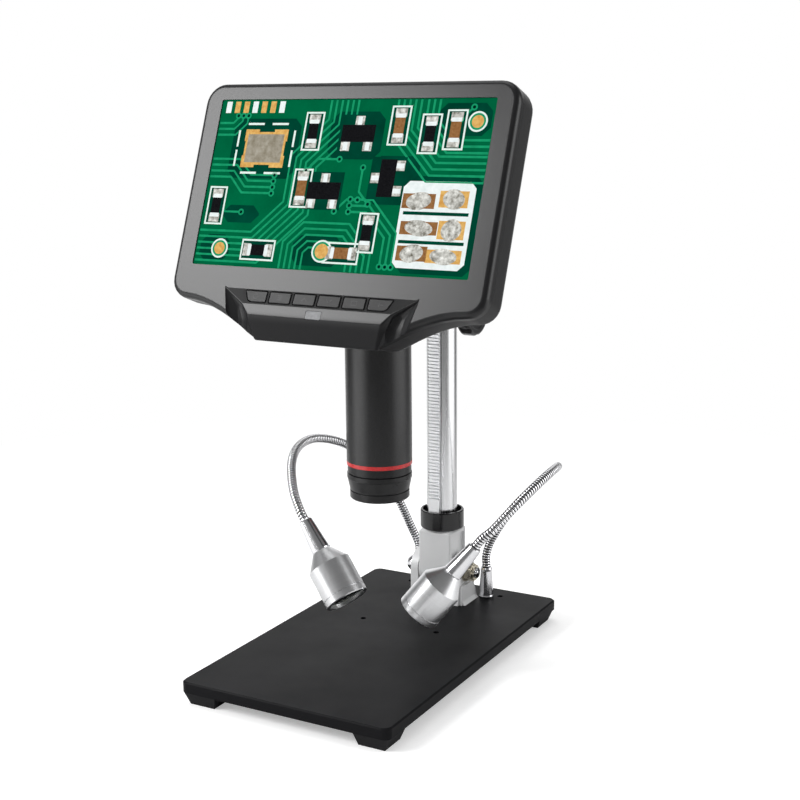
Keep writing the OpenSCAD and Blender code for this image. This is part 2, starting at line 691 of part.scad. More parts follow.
module pinion_shaft() color(col_steel) on_plate() translate([0, pinion_y, focus_h]) rotate([90, 0, 90]) {
    translate([0, 0, -rack_w / 2 - gap]) linear_extrude(rack_w + 2 * gap) pinion_profile();
    translate([0, 0, -knob_in - knob_t + 2]) cylinder(h = 2 * (knob_in + knob_t - 2), r = shaft_r);
}

// A knob with its outer face at the top, a rounded rim and eight shallow flutes for the fingers
module focus_knob() difference() {
    rotate_extrude() polygon(concat(
        [[0, fit], [knob_r - 3.6, fit], [knob_r - 3.2, 1.2], [knob_r - 0.7, 1.4], [knob_r, 2.1]],
        arc(knob_r - 2, knob_t - 2, 2, 0, 90, 5),
        [[knob_r - 3.4, knob_t], [knob_r - 4, knob_t - 0.8], [0, knob_t - 0.8]]));
    translate([0, 0, -1]) cylinder(h = knob_t - 1, r = shaft_r + fit);
    for (a = [0:45:359]) rotate(a) translate([knob_r + 3.2, 0, 2.4]) cylinder(h = knob_t, r = 4.2, $fn = 32);
}

module focus_knob_left() color(col_gloss) on_plate() translate([-knob_in, pinion_y, focus_h]) rotate([0, -90, 0]) focus_knob();

module focus_knob_right() color(col_gloss) on_plate() translate([knob_in, pinion_y, focus_h]) rotate([0, 90, 0]) focus_knob();

// ---- Camera ----

module camera_tube() color(col_black) on_plate() ring(tube_r, tube_in, tube_low, tube_top);

module accent_ring() color(col_red) on_plate() ring(tube_r + 0.05, tube_in, nose_top, tube_low);

module lens_nose() color(col_gloss) on_plate() translate([0, 0, nose_low]) rotate_extrude() polygon([
    [filter_seat, 0.4], [filter_seat + 0.4, 0], [tube_r - 2.1, 0], [tube_r - 1.5, 0.6],
    [tube_r - 1.5, nose_h - 14], [tube_r - 2, nose_h - 13.8], [tube_r - 2, nose_h - 13.3], [tube_r - 1.5, nose_h - 13.2],
    [tube_r - 0.3, nose_h - 7.3], [tube_r - 0.1, nose_h - 7.1], [tube_r - 0.1, nose_h - 4.7],
    [tube_r - 0.9, nose_h - 4.4], [tube_r - 0.9, nose_h - 4.2], [tube_r - 0.4, nose_h - 4], [tube_r - 0.4, nose_h],
    [cell_r, nose_h], [cell_r, nose_h + accent_h + 4], [filter_seat - 1.4, nose_h + accent_h + 4],
    [filter_seat - 1.4, 6.2], [filter_seat, 5.8]]);

module filter_ring() color(col_alu) on_plate() translate([0, 0, nose_low]) difference() {
    ring(filter_seat - fit, filter_r, 0.8, 4.1);
    for (sx = [-1, 1]) translate([sx * filter_seat, 0, 0]) rotate([0, 0, 45]) translate([-1, -1, 0]) cube([2, 2, 1.6]);
}

module filter_glass() color(col_glass) on_plate() translate([0, 0, nose_low + 4.1 + fit]) cylinder(h = 1.5, r = filter_seat - fit);

module lens_cell() color(col_black) on_plate() difference() {
    ring(cell_r, lens_r + fit, tube_low + 4 + fit, cell_top);
    for (i = [1:3]) translate([0, 0, tube_low + 4 + 8 * i]) ring(cell_r + 1, cell_r - 0.8, 0, 1.2);
}

function dome(r, sag, n) = let (q = (r * r + sag * sag) / (2 * sag))
    [for (i = [0:n]) let (x = r * i / n) [x, sqrt(q * q - x * x) - q + sag]];

// A lens with an edge and a bulge on both faces
module lens(r, edge, sag) rotate_extrude() polygon(concat(
    [for (p = dome(r, sag, 6)) [p[0], p[1] + edge / 2]],
    [let (d = dome(r, sag, 6)) for (i = [6:-1:0]) [d[i][0], -d[i][1] - edge / 2]]));

module objective_lenses() color(col_glass) on_plate() for (l = [[8, 2.4, 1.8], [18, 2, 1.2], [28, 3, 2]])
    translate([0, 0, tube_low + 4 + l[0]]) lens(lens_r, l[1], l[2]);

module sensor_board() color(col_board) on_plate() translate([0, 0, cell_top + 2.2]) {
    cylinder(h = board_t, r = cell_r);
    translate([-6, -6, -1.5]) cube([12, 12, 1.6]);
}

module tube_head() color(col_black) on_plate() difference() {
    union() {
        translate([0, 0, tube_top]) cylinder(h = 6, r = tube_r);
        translate([0, 0, tube_top - 4]) cylinder(h = 5, r = cell_r);
        translate([-lug_out, hinge_y - hinge_lug_r, tube_top]) cube([2 * lug_out, hinge_lug_r - hinge_y, 6]);
        mirrored() {
            translate([lug_in, hinge_y - hinge_lug_r, tube_top + 5]) cube([lug_t, 2 * hinge_lug_r, hinge_z - tube_top - 5]);
            along_x(lug_in, lug_out, hinge_y, hinge_z, hinge_lug_r);
        }
    }
    along_x(-lug_out - 1, lug_out + 1, hinge_y, hinge_z, hinge_pin_r + fit);
}

module tilt_pin() color(col_steel) on_plate() translate([0, hinge_y, hinge_z]) rotate([0, 90, 0]) {
    translate([0, 0, -lug_out - 1]) cylinder(h = 2 * lug_out + 3.4, r = hinge_pin_r);
    translate([0, 0, lug_out + fit]) cylinder(h = 2, r = hinge_pin_r + 1.6, $fn = 6);
    translate([0, 0, -lug_out - fit]) rotate([180, 0, 0]) rotate_extrude()
        polygon([[0, 0], [hinge_pin_r + 1.6, 0], [hinge_pin_r + 1.4, 1.2], [hinge_pin_r, 2.1], [0, 2.3]]);
}

// ---- Screen ----

// The hollow between the console and the flat face on each side
module valley() hull() {
    translate([cusp_x + 0.3, cusp_y + 0.3, 0.4]) sphere(0.6, $fn = 16);
    translate([ramp_x + 4.3, ramp_y - 1.4, 1.5]) sphere(4.6, $fn = 32);
    translate([ramp_x + 2.1, crest_y - 1.4, 1.6]) sphere(5.3, $fn = 32);
    translate([ramp_x + 0.5, chin_low - 1.8, 2.2]) sphere(6.6, $fn = 32);
}

// What stands in front of the console's lower face
module before_chin() rotate([90, 0, 90]) translate([0, 0, -ramp_x]) linear_extrude(2 * ramp_x)
    polygon([[crest_y + 0.4, -0.2], [chin_low - 4, -5.7], [chin_low - 4, 3], [crest_y + 0.4, 3]]);

module console_top() hull() {
    mirrored() {
        translate([cusp_x, cusp_y, -0.5]) sphere(0.5, $fn = 16);
        translate([ramp_x, ramp_y, 0.2]) sphere(1, $fn = 24);
    }
    translate([0, 0, -bezel_t - 0.6]) linear_extrude(0.1)
        polygon([[-cusp_x - 1, cusp_y], [-ramp_x - 1.4, ramp_y - 0.8], [ramp_x + 1.4, ramp_y - 0.8], [cusp_x + 1, cusp_y]]);
}

module console_low() hull() {
    mirrored() {
        translate([ramp_x, ramp_y, 0.2]) sphere(1, $fn = 24);
        translate([crest_x, crest_y, 1.6 - crest_r]) sphere(crest_r, $fn = 24);
        translate([chin_half - 0.3, chin_low + 1.7, -4.6]) sphere(1.7, $fn = 24);
    }
    translate([0, 0, -bezel_t - 0.6]) linear_extrude(0.1)
        polygon([[-ramp_x - 1.4, ramp_y + 0.8], [-chin_half - 0.6, chin_low + 1.4], [-chin_half + 1, chin_low + 0.6],
            [chin_half - 1, chin_low + 0.6], [chin_half + 0.6, chin_low + 1.4], [ramp_x + 1.4, ramp_y + 0.8]]);
}

module ir_pane(grow) translate([0, ir_y, ir_z]) rotate([-ir_lean, 0, 0]) translate([0, 0, -1.4]) linear_extrude(1.5 + grow)
    rounded(8.8 + 2 * grow, 4.2 + 2 * grow, 1);

module housing_body(rings) skin([for (r = rings) level(inset(outline(flare(r[0]), drop_at(r[0])), r[1]), r[0])]);

// Everything between two planes parallel to the screen
module layer(z0, z1) translate([-house_half - 5, chin_low - 5, z0]) cube([2 * house_half + 10, house_top - chin_low + 10, z1 - z0]);

module front_bezel() color("#2d2e31") on_screen() difference() {
    union() {
        difference() {
            union() {
                difference() {
                    housing_body(bezel_rings);
                    layer(0, 2);
                    mirrored() valley();
                    before_chin();
                }
                console_top();
                console_low();
            }
            layer(-bezel_t - 2, -bezel_t);
        }
        mirrored() translate([board_half - 3, button_y, switch_board + fit]) cylinder(h = 3, r = 1.8);
    }
    slab(-screen_w / 2, screen_w / 2, 0, screen_h, -bezel_t, 1, 1);
    slab(-screen_w / 2 - panel_side - 0.1, screen_w / 2 + panel_side + 0.1, -panel_down - 0.1, screen_h + panel_up + 0.1,
        -bezel_t - 1, -house_wall, 1);
    for (i = [1:button_n]) {
        translate([0, 0, key_floor]) linear_extrude(8) polygon(inset(key_shape(i), -gap));
        translate([button_x(i), button_y, 0])
            slab(-stem_w / 2 - gap, stem_w / 2 + gap, -stem_h / 2 - gap, stem_h / 2 + gap, -bezel_t - 1, key_floor + 1, 1.2);
    }
    ir_pane(fit);
    mirrored() for (y = [boss_up, boss_down]) translate([boss_x, y, -bezel_t - 1]) cylinder(h = bezel_t - 1.8, r = small_screw_r + fit);
}

module rear_cover() color("#232427") on_screen() difference() {
    union() {
        difference() {
            union() {
                difference() {
                    housing_body(cover_rings);
                    layer(-bezel_t - fit, 0);
                    layer(cover_back - 2, cover_back);
                }
                bulge();
            }
            translate([0, 0, cover_back + house_wall]) linear_extrude(cover_t) polygon(inset(outline(flare(-bezel_t), drop_at(cover_back)), house_wall));
            slab(-bulge_in, bulge_in, bulge_low + 3, bulge_high - 3, bulge_back + house_wall, cover_back + 5, 3);
        }
        mirrored() {
            for (y = [boss_up, boss_down]) translate([boss_x, y, cover_back + 1.5]) cylinder(h = cover_t - 1.7, r = 2.9);
            for (y = board_screw_y) translate([board_screw_x, y, bulge_back + 1]) cylinder(h = board_back - fit - bulge_back - 1, r = 2.2);
            for (y = hinge_screw_at) translate([hinge_screw_x, y, bulge_back + 1]) cylinder(h = board_back - 0.8 - bulge_back - 1, r = 2.6);
        }
    }
    mirrored() {
        for (y = [boss_up, boss_down]) translate([boss_x, y, cover_back - 1]) {
            cylinder(h = cover_t + 2, r = small_screw_r + fit);
            cylinder(h = 2.4, r = small_head_r + 0.15);
        }
        for (y = hinge_screw_at) translate([hinge_screw_x, y, bulge_back - 1]) cylinder(h = bulge_t - 1, r = small_screw_r + fit);
        for (i = [0:5]) slab(10, 38, bulge_high - 8 - 4 * i, bulge_high - 6.2 - 4 * i, bulge_back - 1, bulge_back + house_wall + 1, 0.8);
    }
    for (s = sockets) socket_shape(s[0], s[1], socket_h, 0.2);
    power_shape(0.2);
}

module bulge() hull() {
    slab(-bulge_x, bulge_x, bulge_low, bulge_high, cover_back, cover_back + 1, 6, $fn = 32);
    slab(-bulge_x + 0.6, bulge_x - 0.6, bulge_low + 0.6, bulge_high - 0.6, bulge_back + 2, bulge_back + 2.1, 6, $fn = 32);
    slab(-bulge_x + 2, bulge_x - 2, bulge_low + 2, bulge_high - 2, bulge_back, bulge_back + 0.1, 5, $fn = 32);
}

// A socket on the left side of the bulge, mounted on the rear of the main board
module socket_shape(y, w, h, grow) translate([-bulge_x - 1, y - w / 2 - grow, board_back - fit - h - grow])
    cube([grow > 0 ? 6 : 9, w + 2 * grow, h + (grow > 0 ? 2 * grow : 0)]);

module power_shape(grow) translate([-bulge_x - 1, power_y, board_back - fit - power_r]) rotate([0, 90, 0]) cylinder(h = grow > 0 ? 6 : 9, r = power_r + grow);

module socket_row() color(col_steel) on_screen() intersection() {
    slab(-bulge_x + 1.4, 0, bulge_low, bulge_high, bulge_back, board_back, 1);
    union() {
        for (s = sockets) difference() {
            socket_shape(s[0], s[1], socket_h, 0);
            translate([-bulge_x - 2, s[0] - s[1] / 2 + 0.7, board_back - fit - socket_h + 0.7]) cube([8, s[1] - 1.4, socket_h - 1.4]);
        }
        difference() {
            power_shape(0);
            translate([-bulge_x - 2, power_y, board_back - fit - power_r]) rotate([0, 90, 0]) cylinder(h = 7, r = power_r - 0.6);
        }
    }
}

module lcd_panel() color("#17181b") on_screen()
    slab(-screen_w / 2 - panel_side, screen_w / 2 + panel_side, -panel_down, screen_h + panel_up, -bezel_t + 0.1, -house_wall - fit, 1);

module screen_glass() color("#1c3a2a") on_screen() slab(-screen_w / 2 + fit, screen_w / 2 - fit, fit, screen_h - fit, -house_wall, -0.7, 1);

module main_board() color(col_board) on_screen() {
    slab(-bulge_in + 0.4, bulge_in - 6, bulge_low + 3.4, bulge_high - 3.4, board_back, board_back + board_t, 3);
    for (c = [[-8, 46, 14, 14], [14, 44, 10, 12], [-30, 20, 8, 9], [24, 20, 16, 5]])
        translate([c[0], c[1], board_back + board_t - 0.1]) cube([c[2], c[3], 1.6]);
}

module button_board() color(col_board) on_screen() {
    slab(-board_half, board_half, button_y - 3.6, button_y + 3.6, switch_board - 1, switch_board, 1);
    for (i = [1:button_n]) translate([button_x(i) - 2.5, button_y - 1.7, switch_board - 0.1]) cube([5, 3.4, switch_h + 0.1]);
}

module ir_window() color("#6f7275") on_screen() ir_pane(0);

module cover_screws() color(col_steel) on_screen() mirrored() {
    for (y = [boss_up, boss_down]) translate([boss_x, y, cover_back + 1.4]) screw(small_screw_r, cover_t + 1.4, small_head_r, 1.2);
    for (y = hinge_screw_at) translate([hinge_screw_x, y, bulge_back - 1.1]) screw(small_screw_r, 5, small_head_r, 1.2);
}

module hinge_plate() color(col_black) on_screen() difference() {
    union() {
        slab(-hinge_plate_x, hinge_plate_x, hinge_up - hinge_plate_half, hinge_up + hinge_plate_half, bulge_back - hinge_plate_t, bulge_back, 3);
        translate([-knuckle_half, hinge_up - hinge_lug_r + 0.5, -hinge_back])
            cube([2 * knuckle_half, 2 * hinge_lug_r - 1, hinge_back + bulge_back - hinge_plate_t + 1]);
        along_x(-knuckle_half, knuckle_half, hinge_up, -hinge_back, hinge_lug_r - 0.5);
    }
    along_x(-knuckle_half - 1, knuckle_half + 1, hinge_up, -hinge_back, hinge_pin_r + run);
    mirrored() for (y = hinge_screw_at) translate([hinge_screw_x, y, bulge_back - hinge_plate_t - 1]) {
        cylinder(h = hinge_plate_t + 2, r = small_screw_r + fit);
        cylinder(h = 2.3, r = small_head_r + 0.15);
    }
}

// ---- Buttons ----

function button_x(i) = (i - (button_n + 1) / 2) * button_step;

// A polygon whose corners are rounded, each by its own length
function soft(p, cut) = [for (i = [0:len(p) - 1])
    let (n = len(p), a = p[i] + cut[i] * unit(p[(i + n - 1) % n] - p[i]), c = p[i] + cut[i] * unit(p[(i + 1) % n] - p[i]))
    each [for (t = [0:0.25:1]) (1 - t) * (1 - t) * a + 2 * t * (1 - t) * p[i] + t * t * c]];

// Outline of a button, counter-clockwise from its upper left corner
function key_shape(i) =
    let (x0 = button_x(i) - (i == 1 ? button_step : button_w) / 2, x1 = button_x(i) + (i == button_n ? button_step : button_w) / 2,
        low = key_top - button_h,
        in0 = i == 1 ? button_taper : 0, in1 = i == button_n ? button_taper : 0)
    soft([[x0, key_top], [x0 + in0, low], [x1 - in1, low], [x1, key_top]], [0.7, in0 > 0 ? 2.2 : 0.9, in1 > 0 ? 2.2 : 0.9, 0.7]);

// A ring of points on a plane parallel to the ramp and h in front of it
function on_ramp(p, h) = [for (q = p) [q[0], q[1], (cusp_y + 0.08 - q[1]) * tan(ramp_lean) + h]];

module button(i) color("#1f2023") on_screen() {
    skin([level(key_shape(i), button_back), on_ramp(key_shape(i), key_proud - 0.4), on_ramp(inset(key_shape(i), 0.4), key_proud)]);
    translate([button_x(i), button_y, 0]) slab(-stem_w / 2, stem_w / 2, -stem_h / 2, stem_h / 2, stem_end, button_back + 0.1, 0.9);
}

module button_1() button(1);

module button_2() button(2);

module button_3() button(3);

module button_4() button(4);

module button_5() button(5);

module button_6() mirror([1, 0, 0]) button(1);

// ---- Lamp heads ----

module lamp_at(end, aim) on_plate() translate(end) rotate([0, acos(aim[2] / norm(aim)), atan2(aim[1], aim[0])]) children();

// The chrome sleeve that joins the neck to the lamp head
module lamp_ferrule() rotate_extrude() polygon([[0, neck_seat], [neck_r + 0.15, neck_seat], [neck_r + 0.15, 0], [neck_r + 0.9, 0],
    [neck_r + 1.2, 0.5], [neck_r + 2.6, sleeve_len - 0.6], [neck_r + 2.4, sleeve_len], [2.2, sleeve_len],
    [2.2, sleeve_len + 3], [0, sleeve_len + 3]]);

// The turned head: a cone, a long cylinder with a groove and an open front
module lamp_head() rotate_extrude() polygon(
    [[0, head_low + 3.2], [2.2 + fit, head_low + 3.2], [2.2 + fit, head_low], [neck_r + 2.7, head_low], [neck_r + 3.1, head_low + 0.5],
        [lamp_r - 0.3, head_wide - 0.4], [lamp_r, head_wide],
        [lamp_r, head_high - 3.9], [lamp_r - 0.4, head_high - 3.8], [lamp_r - 0.4, head_high - 3.4], [lamp_r, head_high - 3.3],
        [lamp_r, head_high - 0.4], [lamp_r - 0.4, head_high], [lamp_in + 0.3, head_high], [lamp_in, head_high - 0.3],
        [lamp_in, led_floor], [0, led_floor]]);

module lamp_lens() translate([0, 0, head_high - 1.8]) rotate_extrude() polygon(concat(
    [[0, 0], [lamp_in - fit, 0]], [for (i = [5:-1:0]) dome(lamp_in - fit, 0.9, 5)[i] + [0, 0.5]]));

module lamp_led() translate([0, 0, led_floor + fit]) {
    cylinder(h = 1.2, r = lamp_in - fit);
    cylinder(h = 1.6, r = 3.2);
    translate([0, 0, 1.2]) intersection() {
        sphere(1.9);
        cylinder(h = 3, r = 3);
    }
}

module lamp_ferrule_left() color(col_chrome) lamp_at(left_end, left_aim) lamp_ferrule();

module lamp_head_left() color(col_alu) lamp_at(left_end, left_aim) lamp_head();

module lamp_lens_left() color(col_glass) lamp_at(left_end, left_aim) lamp_lens();

module lamp_led_left() color("#e8e4c8") lamp_at(left_end, left_aim) lamp_led();

module lamp_ferrule_right() color(col_chrome) lamp_at(right_end, right_aim) lamp_ferrule();

module lamp_head_right() color(col_alu) lamp_at(right_end, right_aim) lamp_head();

module lamp_lens_right() color(col_glass) lamp_at(right_end, right_aim) lamp_lens();

module lamp_led_right() color("#e8e4c8") lamp_at(right_end, right_aim) lamp_led();

base_plate();
base_feet();
foot_screws();
column_bracket();
bracket_screws();
pivot_bolt();
pivot_nut();
lamp_foot_left();
lamp_foot_right();
lamp_foot_nuts();
gooseneck_left();
gooseneck_right();
pivot_block();
column_collar();
column_rod();
column_rack();
column_cap();
carriage_housing();
guide_bushes();
camera_arm();
arm_screws();
clamp_screw();
tension_knob();
pinion_shaft();
focus_knob_left();
focus_knob_right();
camera_tube();
accent_ring();
lens_nose();
filter_ring();
filter_glass();
lens_cell();
objective_lenses();
sensor_board();
tube_head();
tilt_pin();
front_bezel();
rear_cover();
lcd_panel();
screen_glass();
main_board();
button_board();
ir_window();
cover_screws();
hinge_plate();
socket_row();
button_1();
button_2();
button_3();
button_4();
button_5();
button_6();
lamp_ferrule_left();
lamp_head_left();
lamp_lens_left();
lamp_led_left();
lamp_ferrule_right();
lamp_head_right();
lamp_lens_right();
lamp_led_right();
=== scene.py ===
"""Dresses the digital microscope: finishes for its metal, paint and plastic, ribbed goosenecks, the picture on
the screen and the signs on its keys. It is laid out as an add-on and run as a script.
All lengths are metres, in the part's own frame: +Z up, the front faces -Y."""

import json
import math

import bpy
from mathutils import Matrix, Vector


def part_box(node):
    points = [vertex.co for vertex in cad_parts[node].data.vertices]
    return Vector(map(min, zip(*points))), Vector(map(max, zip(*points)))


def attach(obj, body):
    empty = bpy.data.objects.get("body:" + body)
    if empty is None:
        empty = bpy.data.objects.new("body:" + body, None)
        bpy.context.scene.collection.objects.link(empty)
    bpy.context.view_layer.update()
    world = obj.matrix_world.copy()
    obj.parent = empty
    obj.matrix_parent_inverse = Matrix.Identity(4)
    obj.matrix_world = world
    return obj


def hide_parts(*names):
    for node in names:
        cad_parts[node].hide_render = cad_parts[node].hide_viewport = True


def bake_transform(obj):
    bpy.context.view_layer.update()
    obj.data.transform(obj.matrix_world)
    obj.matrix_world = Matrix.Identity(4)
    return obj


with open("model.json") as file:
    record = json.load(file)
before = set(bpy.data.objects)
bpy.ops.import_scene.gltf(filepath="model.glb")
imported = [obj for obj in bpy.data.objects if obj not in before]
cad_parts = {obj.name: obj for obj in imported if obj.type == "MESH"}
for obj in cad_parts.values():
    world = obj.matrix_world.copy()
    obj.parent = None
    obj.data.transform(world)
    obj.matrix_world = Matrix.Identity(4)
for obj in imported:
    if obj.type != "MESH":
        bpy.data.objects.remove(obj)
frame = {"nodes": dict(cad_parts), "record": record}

bl_info = {
    "name": "Digital Microscope Dressing",
    "version": (1, 0, 0),
    "blender": (4, 5, 0),
    "location": "View3D > Sidebar > Microscope",
    "description": "Finishes, goosenecks, screen picture and studio for the digital microscope",
    "category": "Object",
}

MM = 0.001
LENGTH = {"unit": "LENGTH", "precision": 5}
COLOUR = {"subtype": "COLOR", "min": 0, "max": 1}


# ---- Sizes and colours ------------------------------------------------------------------------------------------


class MicroscopeScreen(bpy.types.PropertyGroup):
    """The tilted screen and the picture on it"""

    tilt: bpy.props.FloatProperty(
        name="Tilt", description="Angle of the screen back from upright", default=math.radians(21), subtype="ANGLE"
    )
    edge: bpy.props.FloatVectorProperty(
        name="Lower edge",
        description="Middle of the picture's lower edge, on the bezel's front plane",
        default=(0, -0.0519923, 0.2160801),
        subtype="TRANSLATION",
        **LENGTH,
    )
    glass: bpy.props.FloatProperty(
        name="Glass depth", description="Distance of the glass behind the bezel's front", default=0.7 * MM, **LENGTH
    )
    board: bpy.props.FloatVectorProperty(
        name="Board", description="Green of the board in the picture", default=(0.0, 0.13, 0.05), **COLOUR
    )
    board_dark: bpy.props.FloatVectorProperty(
        name="Board, bare", description="Darker green between the copper areas", default=(0.0, 0.055, 0.03), **COLOUR
    )
    track: bpy.props.FloatVectorProperty(
        name="Track", description="Green of the copper tracks under the lacquer", default=(0.01, 0.32, 0.14), **COLOUR
    )
    glow: bpy.props.FloatProperty(
        name="Glow", description="Strength of the light that the picture gives", default=0.62, min=0, max=2
    )


class MicroscopeNecks(bpy.types.PropertyGroup):
    """The two ribbed goosenecks"""

    radius: bpy.props.FloatProperty(
        name="Radius", description="Radius over the ribs", default=2.5 * MM, **LENGTH
    )
    depth: bpy.props.FloatProperty(
        name="Rib depth", description="Depth of the groove between two ribs", default=0.5 * MM, **LENGTH
    )
    pitch: bpy.props.FloatProperty(
        name="Rib pitch", description="Distance from rib to rib", default=1.6 * MM, **LENGTH
    )


class MicroscopeFinish(bpy.types.PropertyGroup):
    """Colours of the painted, moulded and metal parts"""

    plate: bpy.props.FloatVectorProperty(
        name="Base plate", description="Black of the coated base plate", default=(0.0075, 0.0075, 0.0085), **COLOUR
    )
    housing: bpy.props.FloatVectorProperty(
        name="Housing", description="Charcoal of the screen's housing", default=(0.011, 0.011, 0.0118), **COLOUR
    )
    tube: bpy.props.FloatVectorProperty(
        name="Camera tube", description="Black of the anodised camera tube", default=(0.007, 0.007, 0.0075), **COLOUR
    )
    accent: bpy.props.FloatVectorProperty(
        name="Ring", description="Red of the ring above the lens nose", default=(0.5, 0.018, 0.02), **COLOUR
    )
    casting: bpy.props.FloatVectorProperty(
        name="Casting", description="Light grey of the bracket and pivot block", default=(0.7, 0.705, 0.71), **COLOUR
    )
    aluminium: bpy.props.FloatVectorProperty(
        name="Aluminium", description="Turned and drawn aluminium", default=(0.76, 0.765, 0.775), **COLOUR
    )


class MicroscopeStudio(bpy.types.PropertyGroup):
    """Floor, lights and camera"""

    lens: bpy.props.FloatProperty(
        name="Focal length", description="Focal length of the camera, millimetres", default=63.5, min=1
    )
    place: bpy.props.FloatVectorProperty(
        name="Camera place",
        description="Where the camera stands",
        default=(0.36036, -0.6203, 0.29735),
        subtype="TRANSLATION",
        **LENGTH,
    )
    turn: bpy.props.FloatVectorProperty(
        name="Camera turn",
        description="Heading to the left of +Y, downward pitch and roll",
        default=(math.radians(29.27), math.radians(12.13), math.radians(-0.55)),
        subtype="EULER",
    )
    key: bpy.props.FloatProperty(
        name="Key light", description="Power of the large soft light", default=14.0, min=0, subtype="POWER"
    )
    room: bpy.props.FloatProperty(
        name="Room light", description="Strength of the pale room around the object", default=0.5, min=0
    )


# ---- Node helpers -----------------------------------------------------------------------------------------------


class Nodes:
    """A node tree under construction"""

    def __init__(self, tree):
        self.tree = tree

    def node(self, kind, **sockets):
        """Adds a node and sets the values of its sockets"""
        made = self.tree.nodes.new(kind)
        for socket, value in sockets.items():
            made.inputs[socket.replace("_", " ")].default_value = value
        return made

    def link(self, out, into):
        self.tree.links.new(out, into)

    def worked(self, kind, operation, *values, result="Value"):
        """The result of a mathematical node. Each value is another node's output, or a number or direction"""
        made = self.node(kind)
        made.operation = operation
        for value, into in zip(values, made.inputs):
            if isinstance(value, bpy.types.NodeSocket):
                self.link(value, into)
            else:
                into.default_value = value
        return made.outputs[result]

    def ranged(self, value, start, end, low, high, soft=False):
        """A value brought from one range to another"""
        made = self.node("ShaderNodeMapRange", From_Min=start, From_Max=end, To_Min=low, To_Max=high)
        if soft:
            made.interpolation_type = "SMOOTHSTEP"
        self.link(value, made.inputs["Value"])
        return made.outputs["Result"]

    def mixed(self, share, first, second):
        """A blend of two shaders"""
        made = self.node("ShaderNodeMixShader")
        for out, into in zip((share, first, second), made.inputs):
            self.link(out, into)
        return made.outputs["Shader"]


class Paint(Nodes):
    """A material under construction: one Principled shader and the textures that feed it"""

    def __init__(self, name, colour, roughness, metallic=0.0, **settings):
        self.material = bpy.data.materials.new(name)
        self.material.use_nodes = True
        super().__init__(self.material.node_tree)
        self.shader = self.tree.nodes["Principled BSDF"]
        self.rough = self.shader.inputs["Roughness"]
        self.shader.inputs["Base Color"].default_value = (*colour, 1)
        self.rough.default_value = roughness
        self.shader.inputs["Metallic"].default_value = metallic
        for socket, value in settings.items():
            self.shader.inputs[socket.replace("_", " ")].default_value = value
        self.material.diffuse_color = (*colour, 1)
        self.place = self.node("ShaderNodeTexCoord").outputs["Object"]

    def mapped(self, scale, rotation):
        """Object coordinates seen from a turned frame, then stretched"""
        mapping = self.node("ShaderNodeMapping", Scale=[1 / k for k in scale], Rotation=rotation)
        mapping.vector_type = "TEXTURE"
        self.link(self.place, mapping.inputs["Vector"])
        return mapping.outputs["Vector"]

    def noise(self, scale, detail, roughness, at=None):
        made = self.node("ShaderNodeTexNoise", Scale=scale, Detail=detail, Roughness=roughness)
        self.link(at or self.place, made.inputs["Vector"])
        return made.outputs["Fac"]

    def uneven(self, value, low, high):
        """Lets the roughness follow a texture, brought to a range"""
        self.link(self.ranged(value, 0.25, 0.75, low, high), self.rough)

    def along(self, direction, start, end, low, high, into):
        """Feeds a socket with a value that changes softly along a direction, between two distances from the origin"""
        reach = self.worked("ShaderNodeVectorMath", "DOT_PRODUCT", self.place, direction)
        self.link(self.ranged(reach, start, end, low, high, soft=True), into)

    def tinted(self, value, dark, light):
        """Feeds the colour with a blend of two colours"""
        ramp = self.node("ShaderNodeValToRGB")
        for element, position, colour in zip(ramp.color_ramp.elements, (0.3, 0.7), (dark, light)):
            element.color = (*colour, 1)
            element.position = position
        self.link(value, ramp.inputs["Fac"])
        self.link(ramp.outputs["Color"], self.shader.inputs["Base Color"])

    def bump(self, value, strength, distance):
        made = self.node("ShaderNodeBump", Strength=strength, Distance=distance)
        self.link(value, made.inputs["Height"])
        self.link(made.outputs["Normal"], self.shader.inputs["Normal"])


def shade(colour, factor):
    """A lighter or darker tone of a colour"""
    return tuple(min(1, c * factor) for c in colour)


# ---- Finishes ---------------------------------------------------------------------------------------------------


def coated_metal(name, colour, roughness, grain=2600):
    """Powder coat: an even, finely pebbled black"""
    paint = Paint(name, colour, roughness, Specular_IOR_Level=0.06)
    pebbles = paint.noise(grain, 4, 0.6)
    paint.uneven(paint.noise(38, 3, 0.5), roughness - 0.05, roughness + 0.05)
    paint.tinted(pebbles, shade(colour, 0.85), shade(colour, 1.22))
    paint.bump(pebbles, 0.25, 0.05 * MM)
    return paint.material


def moulded_plastic(name, colour, roughness, shine=0.34):
    """Spark-eroded plastic with soft wear in its sheen. Gives the whole paint, so that its sheen can be changed"""
    paint = Paint(name, colour, roughness, Specular_IOR_Level=shine)
    grain = paint.noise(3400, 3, 0.55)
    paint.uneven(paint.noise(24, 2, 0.5), roughness - 0.04, roughness + 0.05)
    paint.tinted(grain, shade(colour, 0.92), shade(colour, 1.1))
    paint.bump(grain, 0.18, 0.03 * MM)
    return paint


def anodised(name, colour):
    """Blasted and anodised aluminium: a dark skin with a fine grain, whose lighter specks in the colour are painted
    glints
    """
    paint = Paint(name, colour, 0.34, Specular_IOR_Level=0.5)
    grain_and_glints = paint.noise(1700, 2, 0.7)
    # The lighter specks in the colour are painted glints; as a bump, the same noise is the real grain
    paint.tinted(grain_and_glints, shade(colour, 0.7), shade(colour, 2.0))
    paint.uneven(paint.noise(900, 3, 0.5), 0.28, 0.4)
    paint.bump(grain_and_glints, 0.45, 0.04 * MM)
    return paint.material


def cast_paint(name, colour):
    """Light paint over a die casting, with a faint orange peel"""
    paint = Paint(name, colour, 0.4, Coat_Weight=0.15, Coat_Roughness=0.25)
    peel = paint.noise(700, 3, 0.5)
    paint.tinted(paint.noise(60, 3, 0.5), shade(colour, 0.94), shade(colour, 1.03))
    paint.uneven(peel, 0.34, 0.46)
    paint.bump(peel, 0.16, 0.06 * MM)
    return paint.material


